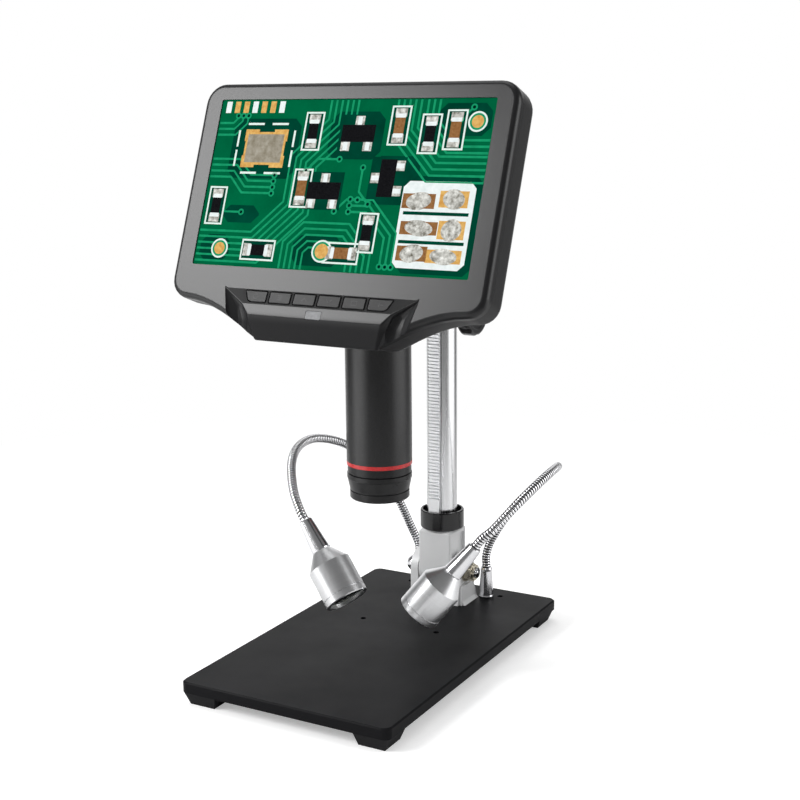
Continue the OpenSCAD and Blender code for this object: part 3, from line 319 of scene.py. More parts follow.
def drawn_metal(name, colour, roughness, stretch, rotation=(0, 0, 0), depth=0.12, tone=0.84, haze=0.1):
    """Metal with fine lines: stretch is high across the lines and low along them"""
    paint = Paint(name, colour, roughness, metallic=1.0)
    lines = paint.noise(1.0, 4, 0.65, paint.mapped(stretch, rotation))
    paint.uneven(lines, roughness - haze, roughness + haze)
    paint.tinted(lines, shade(colour, tone), shade(colour, 1.04))
    paint.bump(lines, depth, 0.02 * MM)
    return paint.material


def polished(name, colour, roughness=0.07):
    """Chrome or polished steel with faint handling haze"""
    paint = Paint(name, colour, roughness, metallic=1.0)
    paint.uneven(paint.noise(140, 4, 0.6), roughness, roughness + 0.07)
    return paint.material


def soft_rubber(name, colour):
    """Dull rubber with a coarse skin"""
    paint = Paint(name, colour, 0.72, Specular_IOR_Level=0.25)
    skin = paint.noise(1500, 3, 0.6)
    paint.tinted(skin, shade(colour, 0.85), shade(colour, 1.2))
    paint.bump(skin, 0.3, 0.06 * MM)
    return paint.material


def clear_glass(name):
    """Clear glass or plastic with faint wipe marks"""
    paint = Paint(name, (0.93, 0.97, 1.0), 0.02, Transmission_Weight=1.0, IOR=1.47, Specular_IOR_Level=0.1)
    paint.uneven(paint.noise(60, 2, 0.5), 0.01, 0.05)
    return paint.material


def glossy_plastic(name, colour, roughness, shine=0.5):
    """Smooth plastic with a faint cloudiness"""
    paint = Paint(name, colour, roughness, Specular_IOR_Level=shine)
    paint.uneven(paint.noise(90, 3, 0.5), roughness - 0.04, roughness + 0.06)
    paint.tinted(paint.noise(600, 2, 0.5), shade(colour, 0.9), shade(colour, 1.15))
    return paint.material


def pictured(name, dark, light, scale, glow):
    """A thing seen in the picture: two tones broken up by a small noise, which give their own light"""
    paint = Paint(name, dark, 0.25, Specular_IOR_Level=0.0, Emission_Strength=glow)
    base = paint.shader.inputs["Base Color"]
    paint.tinted(paint.noise(scale, 4, 0.6), dark, light)
    tones = base.links[0].from_socket
    dim = paint.node("ShaderNodeHueSaturation", Value=0.3)
    paint.link(tones, dim.inputs["Color"])
    paint.link(dim.outputs["Color"], base)
    paint.link(tones, paint.shader.inputs["Emission Color"])
    return paint.material


# ---- Mesh helpers -----------------------------------------------------------------------------------------------


def only(*objects):
    """Selects just these objects"""
    bpy.ops.object.select_all(action="DESELECT")
    for o in objects:
        o.select_set(True)
    bpy.context.view_layer.objects.active = objects[0]


def named(name, material=None):
    """Names the active object and gives it one material"""
    o = bpy.context.active_object
    o.name = o.data.name = name
    if material:
        o.data.materials.clear()
        o.data.materials.append(material)
    return o


def settle(o):
    """Brings an object's place into its mesh"""
    only(o)
    bpy.ops.object.transform_apply(location=True, rotation=True, scale=True)
    return o


def add_modifier(o, kind, **settings):
    """Adds a modifier and applies it"""
    only(o)
    m = o.modifiers.new(kind.title(), kind)
    for key, value in settings.items():
        setattr(m, key, value)
    bpy.ops.object.modifier_apply(modifier=m.name)


def curve_object(name, ways):
    """A curve with straight pieces between the points of each way"""
    line = bpy.data.curves.new(name, "CURVE")
    line.dimensions = "3D"
    for way in ways:
        spline = line.splines.new("POLY")
        spline.points.add(len(way) - 1)
        for point, place in zip(spline.points, way):
            point.co = (*place, 1)
    o = bpy.data.objects.new(name, line)
    bpy.context.scene.collection.objects.link(o)
    return o


def repaint(node, material):
    """Gives a CAD node its finish"""
    materials = frame["nodes"][node].data.materials
    materials.clear()
    materials.append(material)


def upright(node):
    """The vertical axis through the middle of a node's box"""
    low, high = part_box(node)
    return (low + high) / 2, Vector((0, 0, 1))


def body_of_node(node):
    """The moving body that a CAD node belongs to"""
    return next(b for b, members in frame["record"]["behaviour"]["bodies"].items() if node in members)


ROUND_SHARE = 0.97  # how squarely a face has to look away from the axis to count as turned
END_FACE = 0.02  # a face that looks along the axis to within this much is an end face


def round_shading(mesh, point, axis):
    """Shades a turned piece as truly round: each corner's normal leaves the axis where the corner lies"""

    def outward(place):
        arm = place - point
        return (arm - axis * arm.dot(axis)).normalized()

    normals = []
    for face in mesh.polygons:
        along = face.normal.dot(axis)
        across = face.normal - axis * along
        lean = across.dot(outward(face.center))
        turned = abs(lean) > ROUND_SHARE * across.length and across.length > END_FACE
        for v in face.vertices:
            out = outward(mesh.vertices[v].co)
            normals.append((axis * along + out * lean).normalized() if turned else face.normal.copy())
    mesh.normals_split_custom_set(normals)


def dressed_copy(node, material, rounding=0.0, sharp=32, axis=None, flat=False):
    """A copy of a CAD node with merged corners, small rounded edges and smooth curves, which stands for the node"""
    copy = bpy.data.objects.new(node + "_finished", frame["nodes"][node].data.copy())
    bpy.context.scene.collection.objects.link(copy)
    only(copy)
    bpy.ops.object.mode_set(mode="EDIT")
    bpy.ops.mesh.select_all(action="SELECT")
    bpy.ops.mesh.remove_doubles(threshold=0.002 * MM)
    if rounding:
        bpy.ops.mesh.dissolve_limited(angle_limit=math.radians(0.4))
    bpy.ops.object.mode_set(mode="OBJECT")
    if rounding:
        add_modifier(
            copy, "BEVEL", width=rounding, segments=2, limit_method="ANGLE", angle_limit=math.radians(sharp)
        )
    bpy.ops.object.shade_smooth_by_angle(angle=math.radians(38))
    if flat:
        bpy.ops.object.shade_flat()
    elif axis:
        round_shading(copy.data, *axis)
    else:
        add_modifier(copy, "WEIGHTED_NORMAL", keep_sharp=True, weight=60)
    copy.data.materials.clear()
    copy.data.materials.append(material)
    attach(copy, body_of_node(node))
    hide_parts(node)
    return copy


# ---- The screen's own frame -------------------------------------------------------------------------------------


def screen_matrix():
    """Screen frame to object frame: x right, y up the screen, z towards the viewer, in millimetres"""
    s = bpy.context.scene.microscope_screen
    return Matrix.Translation(s.edge) @ Matrix.Rotation(math.pi / 2 - s.tilt, 4, "X") @ Matrix.Scale(MM, 4)


# The chin in the screen's own frame: the ramp that carries the keys, and where the sheen below it fades
RAMP_LEAN = math.radians(8.9)
RAMP_NORMAL = Vector((0, math.sin(RAMP_LEAN), math.cos(RAMP_LEAN)))
RAMP_REACH = (-19, -10.6)
KEY_MIDDLE = (-14.5, 0.83)  # up the screen, and out of it
CHIN_FADE = (-27.5, -21.5)


# ---- Operators: finishes of the CAD nodes -----------------------------------------------------------------------


class MICROSCOPE_OT_base(bpy.types.Operator):
    """Coats the base plate and its feet, and finishes the screws under it"""

    bl_idname = "microscope.base"
    bl_label = "Base plate and feet"

    def execute(self, context):
        colours = context.scene.microscope_finish
        dressed_copy("base_plate", coated_metal("coated_plate", colours.plate, 0.42), 0.35 * MM)
        dressed_copy("base_feet", soft_rubber("foot_rubber", shade(colours.plate, 1.1)), 0.5 * MM)
        steel = drawn_metal("screw_steel", (0.5, 0.5, 0.51), 0.32, (900, 900, 900))
        for node in ("foot_screws", "bracket_screws", "lamp_foot_nuts", "arm_screws", "cover_screws"):
            repaint(node, steel)
        return {"FINISHED"}


class MICROSCOPE_OT_pivot(bpy.types.Operator):
    """Paints the bracket and the pivot block, and finishes the bolt and its nut"""

    bl_idname = "microscope.pivot"
    bl_label = "Tilting foot of the column"

    def execute(self, context):
        paint = cast_paint("grey_casting", context.scene.microscope_finish.casting)
        dressed_copy("column_bracket", paint, 0.5 * MM, sharp=35)
        dressed_copy("pivot_block", paint, 0.4 * MM, sharp=35)
        dressed_copy("pivot_bolt", polished("pivot_chrome", (0.8, 0.8, 0.82)))
        dressed_copy("pivot_nut", drawn_metal("nut_nickel", (0.62, 0.57, 0.46), 0.3, (300, 1200, 1200)), 0.3 * MM)
        return {"FINISHED"}


class MICROSCOPE_OT_column(bpy.types.Operator):
    """Finishes the column tube, its rack, the collar and the cap"""

    bl_idname = "microscope.column"
    bl_label = "Column and rack"

    def execute(self, context):
        colours = context.scene.microscope_finish
        tube = drawn_metal("drawn_tube", colours.aluminium, 0.24, (1200, 1200, 6), depth=0.06, tone=0.94)
        dressed_copy("column_rod", tube)
        rack = drawn_metal("milled_rack", colours.aluminium, 0.4, (8, 8, 1500), depth=0.04, tone=0.95)
        dressed_copy("column_rack", rack, flat=True)
        collar = glossy_plastic("collar_black", (0.005, 0.005, 0.0055), 0.2)
        dressed_copy("column_collar", collar, axis=upright("column_collar"))
        dressed_copy("column_cap", glossy_plastic("cap_black", (0.011, 0.011, 0.012), 0.3))
        return {"FINISHED"}


class MICROSCOPE_OT_carriage(bpy.types.Operator):
    """Finishes the focusing carriage, its arm, its screws and the knobs"""

    bl_idname = "microscope.carriage"
    bl_label = "Focusing carriage"

    def execute(self, context):
        colours = context.scene.microscope_finish
        paint = coated_metal("carriage_coat", colours.tube, 0.4, grain=3000)
        for node in ("carriage_housing", "camera_arm"):
            dressed_copy(node, paint, 0.35 * MM, sharp=35)
        dressed_copy("hinge_plate", paint, 0.3 * MM, sharp=35)
        steel = drawn_metal("turned_steel", (0.56, 0.565, 0.58), 0.28, (1400, 200, 200))
        for node in ("clamp_screw", "pinion_shaft", "tilt_pin"):
            dressed_copy(node, steel)
        knob = glossy_plastic("knob_black", (0.012, 0.012, 0.013), 0.3)
        for node in ("focus_knob_left", "focus_knob_right", "tension_knob"):
            dressed_copy(node, knob)
        repaint("guide_bushes", moulded_plastic("bush_plastic", (0.7, 0.68, 0.6), 0.5).material)
        return {"FINISHED"}


class MICROSCOPE_OT_camera(bpy.types.Operator):
    """Finishes the camera tube, its red ring, the lens nose and the optics inside"""

    bl_idname = "microscope.camera"
    bl_label = "Camera tube"

    def execute(self, context):
        colours = context.scene.microscope_finish
        optical = upright("camera_tube")
        dressed_copy("camera_tube", anodised("tube_anodised", colours.tube), axis=optical)
        dressed_copy("tube_head", anodised("head_anodised", colours.tube), 0.4 * MM, sharp=40)
        dressed_copy("accent_ring", glossy_plastic("ring_red", colours.accent, 0.2), axis=optical)
        nose = glossy_plastic("nose_black", (0.004, 0.004, 0.0045), 0.3, shine=0.4)
        dressed_copy("lens_nose", nose, axis=optical)
        ring = drawn_metal("filter_aluminium", (0.1, 0.1, 0.105), 0.4, (200, 200, 2600))
        dressed_copy("filter_ring", ring, axis=optical)
        glass = clear_glass("optic_glass")
        for node in ("filter_glass", "objective_lenses"):
            dressed_copy(node, glass)
        repaint("lens_cell", coated_metal("cell_black", (0.012, 0.012, 0.012), 0.7))
        repaint("sensor_board", moulded_plastic("board_lacquer", (0.01, 0.16, 0.06), 0.35).material)
        return {"FINISHED"}


class MICROSCOPE_OT_housing(bpy.types.Operator):
    """Finishes the screen's housing, its window for the remote's light, and what is inside"""

    bl_idname = "microscope.housing"
    bl_label = "Screen housing"

    def execute(self, context):
        colours = context.scene.microscope_finish
        plastic = moulded_plastic("housing_plastic", colours.housing, 0.32)
        self.duller_chin(plastic)
        bezel = dressed_copy("front_bezel", plastic.material, 0.22 * MM, sharp=34)
        # The ramp's plastic is the housing's, darker and duller: the darker colour is painted shade on the tilted ramp
        matt_and_shaded = moulded_plastic("ramp_plastic_painted_shade", shade(colours.housing, 0.6), 0.46, shine=0.12)
        self.shade_ramp(bezel, matt_and_shaded.material)
        cover = moulded_plastic("cover_plastic", shade(colours.housing, 0.9), 0.45, shine=0.3)
        dressed_copy("rear_cover", cover.material, 0.2 * MM, sharp=34)
        window = glossy_plastic("window_grey", (0.18, 0.184, 0.19), 0.3, shine=0.15)
        dressed_copy("ir_window", window, 0.25 * MM)
        repaint("lcd_panel", glossy_plastic("panel_black", (0.006, 0.006, 0.007), 0.3))
        repaint("socket_row", polished("socket_nickel", (0.7, 0.69, 0.66), 0.2))
        lacquer = moulded_plastic("circuit_lacquer", (0.01, 0.16, 0.06), 0.35).material
        for node in ("main_board", "button_board"):
            repaint(node, lacquer)
        return {"FINISHED"}

    def shade_ramp(self, bezel, matt_and_shaded):
        """Gives the ramp that carries the keys a dull plastic, whose darker colour is painted shade"""
        to_part = screen_matrix()
        back = to_part.inverted()
        up = (to_part.to_3x3() @ RAMP_NORMAL).normalized()
        bezel.data.materials.append(matt_and_shaded)
        for face in bezel.data.polygons:
            if face.normal.dot(up) > 0.9995 and RAMP_REACH[0] < (back @ face.center).y < RAMP_REACH[1]:
                face.material_index = 1

    def duller_chin(self, paint):
        """Lets the sheen fade below the crest of the chin, where the mould is less polished"""
        to_part = screen_matrix()
        up = (to_part.to_3x3() @ Vector((0, 1, 0))).normalized()
        start, end = (up.dot(to_part @ Vector((0, y, 0))) for y in CHIN_FADE)
        paint.along(up, start, end, 0.12, 0.34, paint.shader.inputs["Specular IOR Level"])
        paint.along(up, start, end, 0.44, 0.32, paint.rough)


class MICROSCOPE_OT_keys(bpy.types.Operator):
    """Finishes the six keys and raises a plain sign on each"""

    bl_idname = "microscope.keys"
    bl_label = "Keys"

    def execute(self, context):
        colours = context.scene.microscope_finish
        # The keys get a darker copy of the housing plastic: painted shade, like the ramp that carries them
        plastic = moulded_plastic("key_plastic_painted_shade", shade(colours.housing, 0.6), 0.42, shine=0.3).material
        sign = moulded_plastic("key_sign", shade(colours.housing, 1.7), 0.35).material
        to_part = screen_matrix()
        back = to_part.inverted()
        for i in range(1, 7):
            node = f"button_{i}"
            dressed_copy(node, plastic, 0.12 * MM)
            low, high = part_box(node)
            middle = back @ ((low + high) / 2)
            place = to_part @ Matrix.Translation((middle.x, *KEY_MIDDLE)) @ Matrix.Rotation(-RAMP_LEAN, 4, "X")
            parts = [self.bar(place, *stroke) for stroke in SIGNS[i - 1]]
            only(*parts)
            bpy.ops.object.join()
            made = named(f"key_sign_{i}", sign)
            settle(made)
            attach(made, body_of_node(node))
        return {"FINISHED"}

    def bar(self, place, x, y, length, turn):
        """One raised stroke of a sign, on the face of a key"""
        bpy.ops.mesh.primitive_cube_add(size=1)
        o = bpy.context.active_object
        stroke = Matrix.Rotation(math.radians(turn), 4, "Z") @ Matrix.Diagonal((length, STROKE, STROKE_HEIGHT, 1))
        o.data.transform(place @ Matrix.Translation((x, y, 0)) @ stroke)
        add_modifier(o, "BEVEL", width=0.03 * MM, segments=2)
        return o


def ring_of_bars(radius, count, start, end):
    """Short strokes round a circle, between two angles"""
    step = (end - start) / count
    length = 2 * radius * math.sin(math.radians(step) / 2) + STROKE * 0.5
    strokes = []
    for k in range(count):
        a = math.radians(start + step * (k + 0.5))
        strokes.append((radius * math.cos(a), radius * math.sin(a), length, math.degrees(a) + 90))
    return strokes


# Each sign is a list of strokes: place on the key, length and turn
STROKE, STROKE_HEIGHT = 0.35, 0.12
SIGNS = [
    ring_of_bars(1.25, 10, 120, 420) + [(0, 1.1, 1.4, 90)],
    [(0, 1.0, 2.6, 0), (0, 0, 2.6, 0), (0, -1.0, 2.6, 0)],
    [(-0.75, 0, 2.2, 48), (0.75, 0, 2.2, -48)],
    [(-0.75, 0, 2.2, -48), (0.75, 0, 2.2, 48)],
    [(0, 1.05, 3.0, 0), (0, -1.05, 3.0, 0), (-1.5, 0, 2.1, 90), (1.5, 0, 2.1, 90)],
    [(0.2, 0, 2.6, 0), (-0.7, 0.5, 1.5, 45), (-0.7, -0.5, 1.5, -45)],
]


class MICROSCOPE_OT_lamps(bpy.types.Operator):
    """Finishes the lamp feet, sleeves, heads, lenses and light chips"""

    bl_idname = "microscope.lamps"
    bl_label = "Lamps"

    def execute(self, context):
        colours = context.scene.microscope_finish
        chrome = polished("lamp_chrome", (0.82, 0.82, 0.84), 0.15)
        lens = clear_glass("lamp_lens_clear")
        chip = Paint("light_chip", (0.8, 0.76, 0.5), 0.4)
        chip.tinted(chip.noise(900, 2, 0.5), (0.72, 0.68, 0.5), (0.9, 0.88, 0.78))
        for side in ("left", "right"):
            end, aim = NECKS[side][2:]
            axis = above_plate(Vector(end)), Vector(aim).normalized()
            turn = tuple(axis[1].to_track_quat("Z", "Y").to_euler())
            fine = {"depth": 0.04, "tone": 0.97, "haze": 0.03}
            turned = drawn_metal(f"turned_head_{side}", colours.aluminium, 0.3, (12, 12, 3200), turn, **fine)
            dressed_copy(f"lamp_foot_{side}", chrome, axis=upright(f"lamp_foot_{side}"))
            dressed_copy(f"lamp_ferrule_{side}", chrome, axis=axis)
            dressed_copy(f"lamp_head_{side}", turned, axis=axis)
            dressed_copy(f"lamp_lens_{side}", lens)
            repaint(f"lamp_led_{side}", chip.material)
        return {"FINISHED"}


# ---- Goosenecks -------------------------------------------------------------------------------------------------

# Millimetres, with heights over the base plate's top. Each neck has its foot, the points on its way, its seat in the
# lamp head and the direction in which the lamp shines
PLATE_TOP = 12.7
LEFT_WAY = [
    *((-26, 81, 36), (-33, 73, 59), (-42, 61, 79), (-50, 46, 91.5)),
    *((-54, 24, 99), (-52.5, 4, 99.5), (-46.5, -13, 94.5), (-37, -26.5, 84.5)),
]
RIGHT_WAY = [
    *((25, 84, 34), (34, 84.5, 49), (46, 84, 62.5), (60, 78, 76.5), (73, 64.5, 88)),
    *((80.5, 46, 93), (81, 29, 91.5), (76, 11.5, 83.5), (67, -1, 70.5)),
]
NECKS = {
    "left": ((-22.2, 83.4, 13.2), LEFT_WAY, (-25, -34, 71), (0.635, -0.18, -0.75)),
    "right": ((22.2, 83.4, 13.2), RIGHT_WAY, (58.5, -5, 61), (-0.586, -0.231, -0.777)),
}
FOOT_MARKS = (-6, 0, 6, 12)  # points straight up from the foot
HEAD_MARKS = (-6, 0, 4.8, 9.8)  # points straight into the lamp head
STEPS_TO_MARK = 8
WAY_POINTS = 160
RIB_SIDES, RIB_CUTS = 6, 5  # a rib starts with six sides, and each edge is cut five times
RIDGE_SHARE = 0.6  # the share of a rib that gets the chrome; the rest, in the groove, gets black paint as painted shade


def above_plate(place):
    """Millimetres over the base plate to the part's own frame"""
    return (place + Vector((0, 0, PLATE_TOP))) * MM


def neck_way(foot, middle, end, aim):
    """Points along a neck, from its seat in the lamp foot to its seat behind the lamp head"""
    foot, end, aim = Vector(foot), Vector(end), Vector(aim).normalized()
    marks = [foot + Vector((0, 0, z)) for z in FOOT_MARKS]
    marks += [Vector(p) for p in middle]
    marks += [end + aim * reach for reach in HEAD_MARKS]
    points = []
    for a, b, c, d in zip(marks, marks[1:], marks[2:], marks[3:]):
        for k in range(STEPS_TO_MARK):
            t = k / STEPS_TO_MARK
            curve = 2 * b + (c - a) * t + (2 * a - 5 * b + 4 * c - d) * t**2 + (3 * b - a - 3 * c + d) * t**3
            points.append(0.5 * curve)
    points.append(marks[-2])
    return evenly([above_plate(p) for p in points], WAY_POINTS)


def evenly(points, count):
    """The same way with its points at equal distances, so that the ribs lie evenly along it"""
    steps = [(b - a).length for a, b in zip(points, points[1:])]
    total, even, k, gone = sum(steps), [points[0]], 0, 0.0
    for i in range(1, count):
        reach = total * i / count
        while gone + steps[k] < reach:
            gone += steps[k]
            k += 1
        even.append(points[k].lerp(points[k + 1], (reach - gone) / steps[k]))
    return even + [points[-1]]


class MICROSCOPE_OT_necks(bpy.types.Operator):
    """Winds the two ribbed goosenecks: one rib is turned, repeated along a line and bent to its way"""

    bl_idname = "microscope.necks"
    bl_label = "Goosenecks"

    def execute(self, context):
        sizes = context.scene.microscope_necks
        self.chrome = polished("neck_chrome", (0.88, 0.88, 0.9), 0.1)
        # Black for the grooves between the ribs: painted shade in the creases of the chrome
        self.groove = glossy_plastic("neck_groove_painted_shade", (0.004, 0.004, 0.005), 0.5, shine=0.1)
        for side, (foot, middle, end, aim) in NECKS.items():
            way = neck_way(foot, middle, end, aim)
            bend = curve_object(f"neck_way_{side}", [way])
            bend.data.twist_mode = "MINIMUM"
            length = sum((b - a).length for a, b in zip(way, way[1:]))
            neck = self.ribbed(sizes, length)
            add_modifier(neck, "CURVE", object=bend, deform_axis="POS_Z")
            neck = named(f"gooseneck_{side}_ribbed")
            bpy.ops.object.shade_smooth_by_angle(angle=math.radians(50))
            bpy.data.objects.remove(bend)
            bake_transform(neck)
            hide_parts(f"gooseneck_{side}")
        return {"FINISHED"}

    def ribbed(self, sizes, length):
        """A straight ribbed tube along +Z, closed at both ends"""
        count = round(length / sizes.pitch)
        half = length / count / 2
        bpy.ops.object.select_all(action="DESELECT")
        bpy.ops.mesh.primitive_cylinder_add(
            vertices=RIB_SIDES, radius=sizes.radius, depth=2 * half, end_fill_type="NOTHING", location=(0, 0, half)
        )
        neck = named("neck_rib", self.chrome)
        neck.data.materials.append(self.groove)
        settle(neck)
        bpy.ops.object.mode_set(mode="EDIT")
        bpy.ops.mesh.select_all(action="SELECT")
        bpy.ops.mesh.subdivide(number_cuts=RIB_CUTS)
        bpy.ops.object.mode_set(mode="OBJECT")
        for v in neck.data.vertices:
            away = min(1.0, abs(v.co.z - half) / half)
            radius = sizes.radius - sizes.depth * (1 - math.sqrt(1 - away * away))
            r = math.hypot(v.co.x, v.co.y)
            v.co.x, v.co.y = v.co.x / r * radius, v.co.y / r * radius
        # Faces in a groove get the black paint: painted shade
        for face in neck.data.polygons:
            face.material_index = int(abs(face.center.z - half) > RIDGE_SHARE * half)
        merged = {"use_merge_vertices": True, "merge_threshold": 0.02 * MM}
        add_modifier(neck, "ARRAY", count=count, relative_offset_displace=(0, 0, 1), **merged)
        bpy.ops.object.mode_set(mode="EDIT")
        bpy.ops.mesh.select_all(action="DESELECT")
        bpy.ops.mesh.select_non_manifold()
        bpy.ops.mesh.edge_face_add()
        bpy.ops.mesh.select_all(action="SELECT")
        bpy.ops.mesh.normals_make_consistent(inside=False)
        bpy.ops.object.mode_set(mode="OBJECT")
        return neck


# ---- The picture on the screen ----------------------------------------------------------------------------------


class MICROSCOPE_OT_picture(bpy.types.Operator):
    """Lays out the magnified circuit board that the screen shows: tracks, pads and parts on a green board"""

    bl_idname = "microscope.picture"
    bl_label = "Screen picture"

    def execute(self, context):
        self.look = context.scene.microscope_screen
        self.level = -self.look.glass / MM
        self.to_part = screen_matrix()
        self.made = []
        self.paints()
        repaint("screen_glass", self.board)
        self.tracks()
        self.parts()
        only(*self.made)
        bpy.ops.object.join()
        picture = named("screen_picture")
        settle(picture)
        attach(picture, body_of_node("screen_glass"))
        return {"FINISHED"}

    def paints(self):
        """Mixes the picture's colours"""
        look = self.look
        glow = look.glow
        self.board = pictured("picture_board", shade(look.board, 0.86), shade(look.board, 1.12), 55, glow)
        self.bare = pictured("picture_bare", shade(look.board_dark, 0.8), shade(look.board_dark, 1.25), 70, glow)
        self.track = pictured("picture_track", shade(look.track, 0.85), shade(look.track, 1.12), 300, glow)
        self.hole = pictured("picture_hole", (0.0, 0.012, 0.008), (0.0, 0.03, 0.02), 900, glow)
        self.ink = pictured("picture_ink", (0.72, 0.86, 0.8), (0.9, 1.0, 0.95), 1500, glow)
        self.gold = pictured("picture_gold", (0.62, 0.3, 0.07), (0.85, 0.55, 0.18), 500, glow)
        self.solder = pictured("picture_solder", (0.14, 0.13, 0.1), (0.95, 0.95, 0.9), 420, glow)
        self.body = pictured("picture_body", (0.003, 0.003, 0.004), (0.014, 0.014, 0.016), 1800, glow)
        self.can = pictured("picture_can", (0.24, 0.21, 0.15), (0.44, 0.41, 0.34), 300, glow)
        self.tan = pictured("picture_tan", (0.22, 0.09, 0.03), (0.36, 0.18, 0.07), 700, glow)
        self.pale = pictured("picture_pale", (0.78, 0.86, 0.85), (0.95, 1.0, 1.0), 300, glow)

    def laid(self, o, x, y, height, material, turn=0.0):
        """Puts a shape on the picture, flat side down, turned about its middle"""
        local = Matrix.Translation((x, y, self.level + height / 2 - SINK)) @ Matrix.Rotation(math.radians(turn), 4, "Z")
        o.data.transform(self.to_part @ local)
        o.data.materials.append(material)
        self.made.append(o)

    def slab(self, x, y, w, h, height, material, turn=0.0, rounding=0.0):
        """A flat block in the picture, standing a little way out of the board"""
        bpy.ops.mesh.primitive_cube_add(size=1)
        o = bpy.context.active_object
        o.data.transform(Matrix.Diagonal((w, h, height, 1)))
        if rounding:
            add_modifier(o, "BEVEL", width=rounding, segments=3, limit_method="ANGLE")
        self.laid(o, x, y, height, material, turn)

    def pour(self, x, y, w, h, cut, material, height=0.016):
        """A flat area with cut corners, as copper is laid out"""
        bpy.ops.mesh.primitive_plane_add(size=1)
        o = bpy.context.active_object
        o.data.transform(Matrix.Diagonal((w, h, 1, 1)))
        bpy.ops.object.mode_set(mode="EDIT")
        bpy.ops.mesh.select_all(action="SELECT")
        bpy.ops.mesh.bevel(offset=cut, offset_type="OFFSET", segments=1, affect="VERTICES")
        bpy.ops.object.mode_set(mode="OBJECT")
        self.laid(o, x, y, 2 * height, material)

    def disc(self, x, y, r, height, material, sides=28):
        """A round pad, standing a little way out of the board"""
        bpy.ops.mesh.primitive_cylinder_add(vertices=sides, radius=r, depth=height)
        self.laid(bpy.context.active_object, x, y, height, material)

    def blob(self, x, y, w, h, height, material, turn):
        """A lump of solder: a flattened ball"""
        bpy.ops.mesh.primitive_uv_sphere_add(segments=20, ring_count=10, radius=0.5)
        o = bpy.context.active_object
        o.data.transform(Matrix.Diagonal((w, h, 2 * height, 1)))
        only(o)
        bpy.ops.object.shade_smooth()
        self.laid(o, x, y, 0, material, turn)

    def frame_lines(self, x, y, w, h, turn):
        """The white printed outline round a part"""
        for dx, dy, lw, lh in ((0, 1, w + INK, INK), (0, -1, w + INK, INK), (1, 0, INK, h), (-1, 0, INK, h)):
            self.slab(*at_part(x, y, turn, dx * w / 2, dy * h / 2), lw, lh, 0.05, self.ink, turn)

    def chip_part(self, x, y, turn, body):
        """A two-ended part: solder, silver ends and a body, in a printed outline"""
        length, width = CHIP_SIZE
        self.slab(x, y, length + 5.2, width + 3.2, 0.042, self.bare, turn)
        for side in (-1, 1):
            solder = at_part(x, y, turn, side * (length / 2 - 0.3), 0)
            self.slab(*solder, 4.2, width * 0.98, 0.07, self.solder, turn, 0.03)
            cap = at_part(x, y, turn, side * (length / 2 - 1.9), 0)
            self.slab(*cap, 2.2, width * 0.84, 0.12, self.pale, turn, 0.04)
        self.slab(x, y, length - 5.6, width * 0.84, 0.13, body, turn, 0.04)
        self.frame_lines(x, y, length + 5.4, width + 3.4, turn)

    def three_leg(self, x, y, turn):
        """A black three-legged part on its solder"""
        self.slab(x, y, 21, 19, 0.04, self.bare, turn)
        for leg in LEGS:
            place = at_part(x, y, turn, *leg)
            self.slab(*place, 5.0, 5.2, 0.08, self.solder, turn, 0.05)
            self.slab(*place, 2.4, 4.6, 0.12, self.pale, turn, 0.04)
        self.slab(x, y, 18.5, 8.6, 0.17, self.body, turn, 0.06)

    def metal_can(self, x, y, w, h):
        """A lidded metal can with a gold rim, on pads at its four corners"""
        for sx in (-1, 1):
            for sy in (-1, 1):
                self.slab(x + sx * w * 0.36, y + sy * h * 0.4, w * 0.34, h * 0.36, 0.07, self.gold, 0, 0.04)
                self.slab(x + sx * (w / 2 + 4.6), y + sy * h * 0.3, 1.1, h * 0.5, 0.05, self.ink)
            self.slab(x + sx * w * 0.3, y + h / 2 + 4.2, w * 0.4, 1.1, 0.05, self.ink)
            self.slab(x + sx * w * 0.3, y - h / 2 - 4.2, w * 0.4, 1.1, 0.05, self.ink)
        self.slab(x, y, w, h, 0.13, self.gold, 0, 0.05)
        self.slab(x, y, w - 2.4, h - 2.4, 0.16, self.can, 0, 0.05)

    def soldered_field(self, x, y, w, h):
        """A white field with lumps of hand-laid solder on gold and copper pads"""
        self.pour(x, y, w, h, 3, self.pale, 0.03)
        for k, (dx, dy, lump_w, lump_h, turn) in enumerate(LUMPS):
            place = x + dx * w, y + dy * h
            self.slab(*place, lump_w * 1.15, lump_h * 0.8, 0.07, self.gold if k % 2 else self.tan, 0, 0.04)
            self.blob(*place, lump_w, lump_h, 0.16, self.solder, turn)
        self.slab(x, y + 0.13 * h, w * 0.9, 1.6, 0.075, self.bare)
        self.slab(x, y - 0.2 * h, w * 0.9, 1.6, 0.075, self.bare)

    def tracks(self):
        """Bundles of parallel tracks with 45 degree bends, and a via at each free end"""
        ways = []
        for count, points in BUNDLES:
            for k in range(count):
                way = beside(points, TRACK_STEP * k)
                ways.append([(max(-76.9, min(76.9, x)), max(0.5, min(85.9, y))) for x, y in way])
        ways += STUBS
        o = curve_object("picture_tracks", [[(x, y, 0) for x, y in way] for way in ways])
        o.data.bevel_depth = TRACK_WIDTH / 2
        o.data.bevel_resolution = 1
        o.data.use_fill_caps = True
        only(o)
        bpy.ops.object.convert(target="MESH")
        o = bpy.context.active_object
        flat = Matrix.Diagonal((1, 1, TRACK_FLATNESS, 1))
        o.data.transform(self.to_part @ Matrix.Translation((0, 0, self.level)) @ flat)
        o.data.materials.append(self.track)
        self.made.append(o)
        for x, y in [end for way in ways for end in (way[0], way[-1])]:
            if abs(x) < 75 and 2.5 < y < 84:
                self.disc(x, y, 1.7, 0.05, self.track)
                self.disc(x, y, 0.8, 0.06, self.hole)

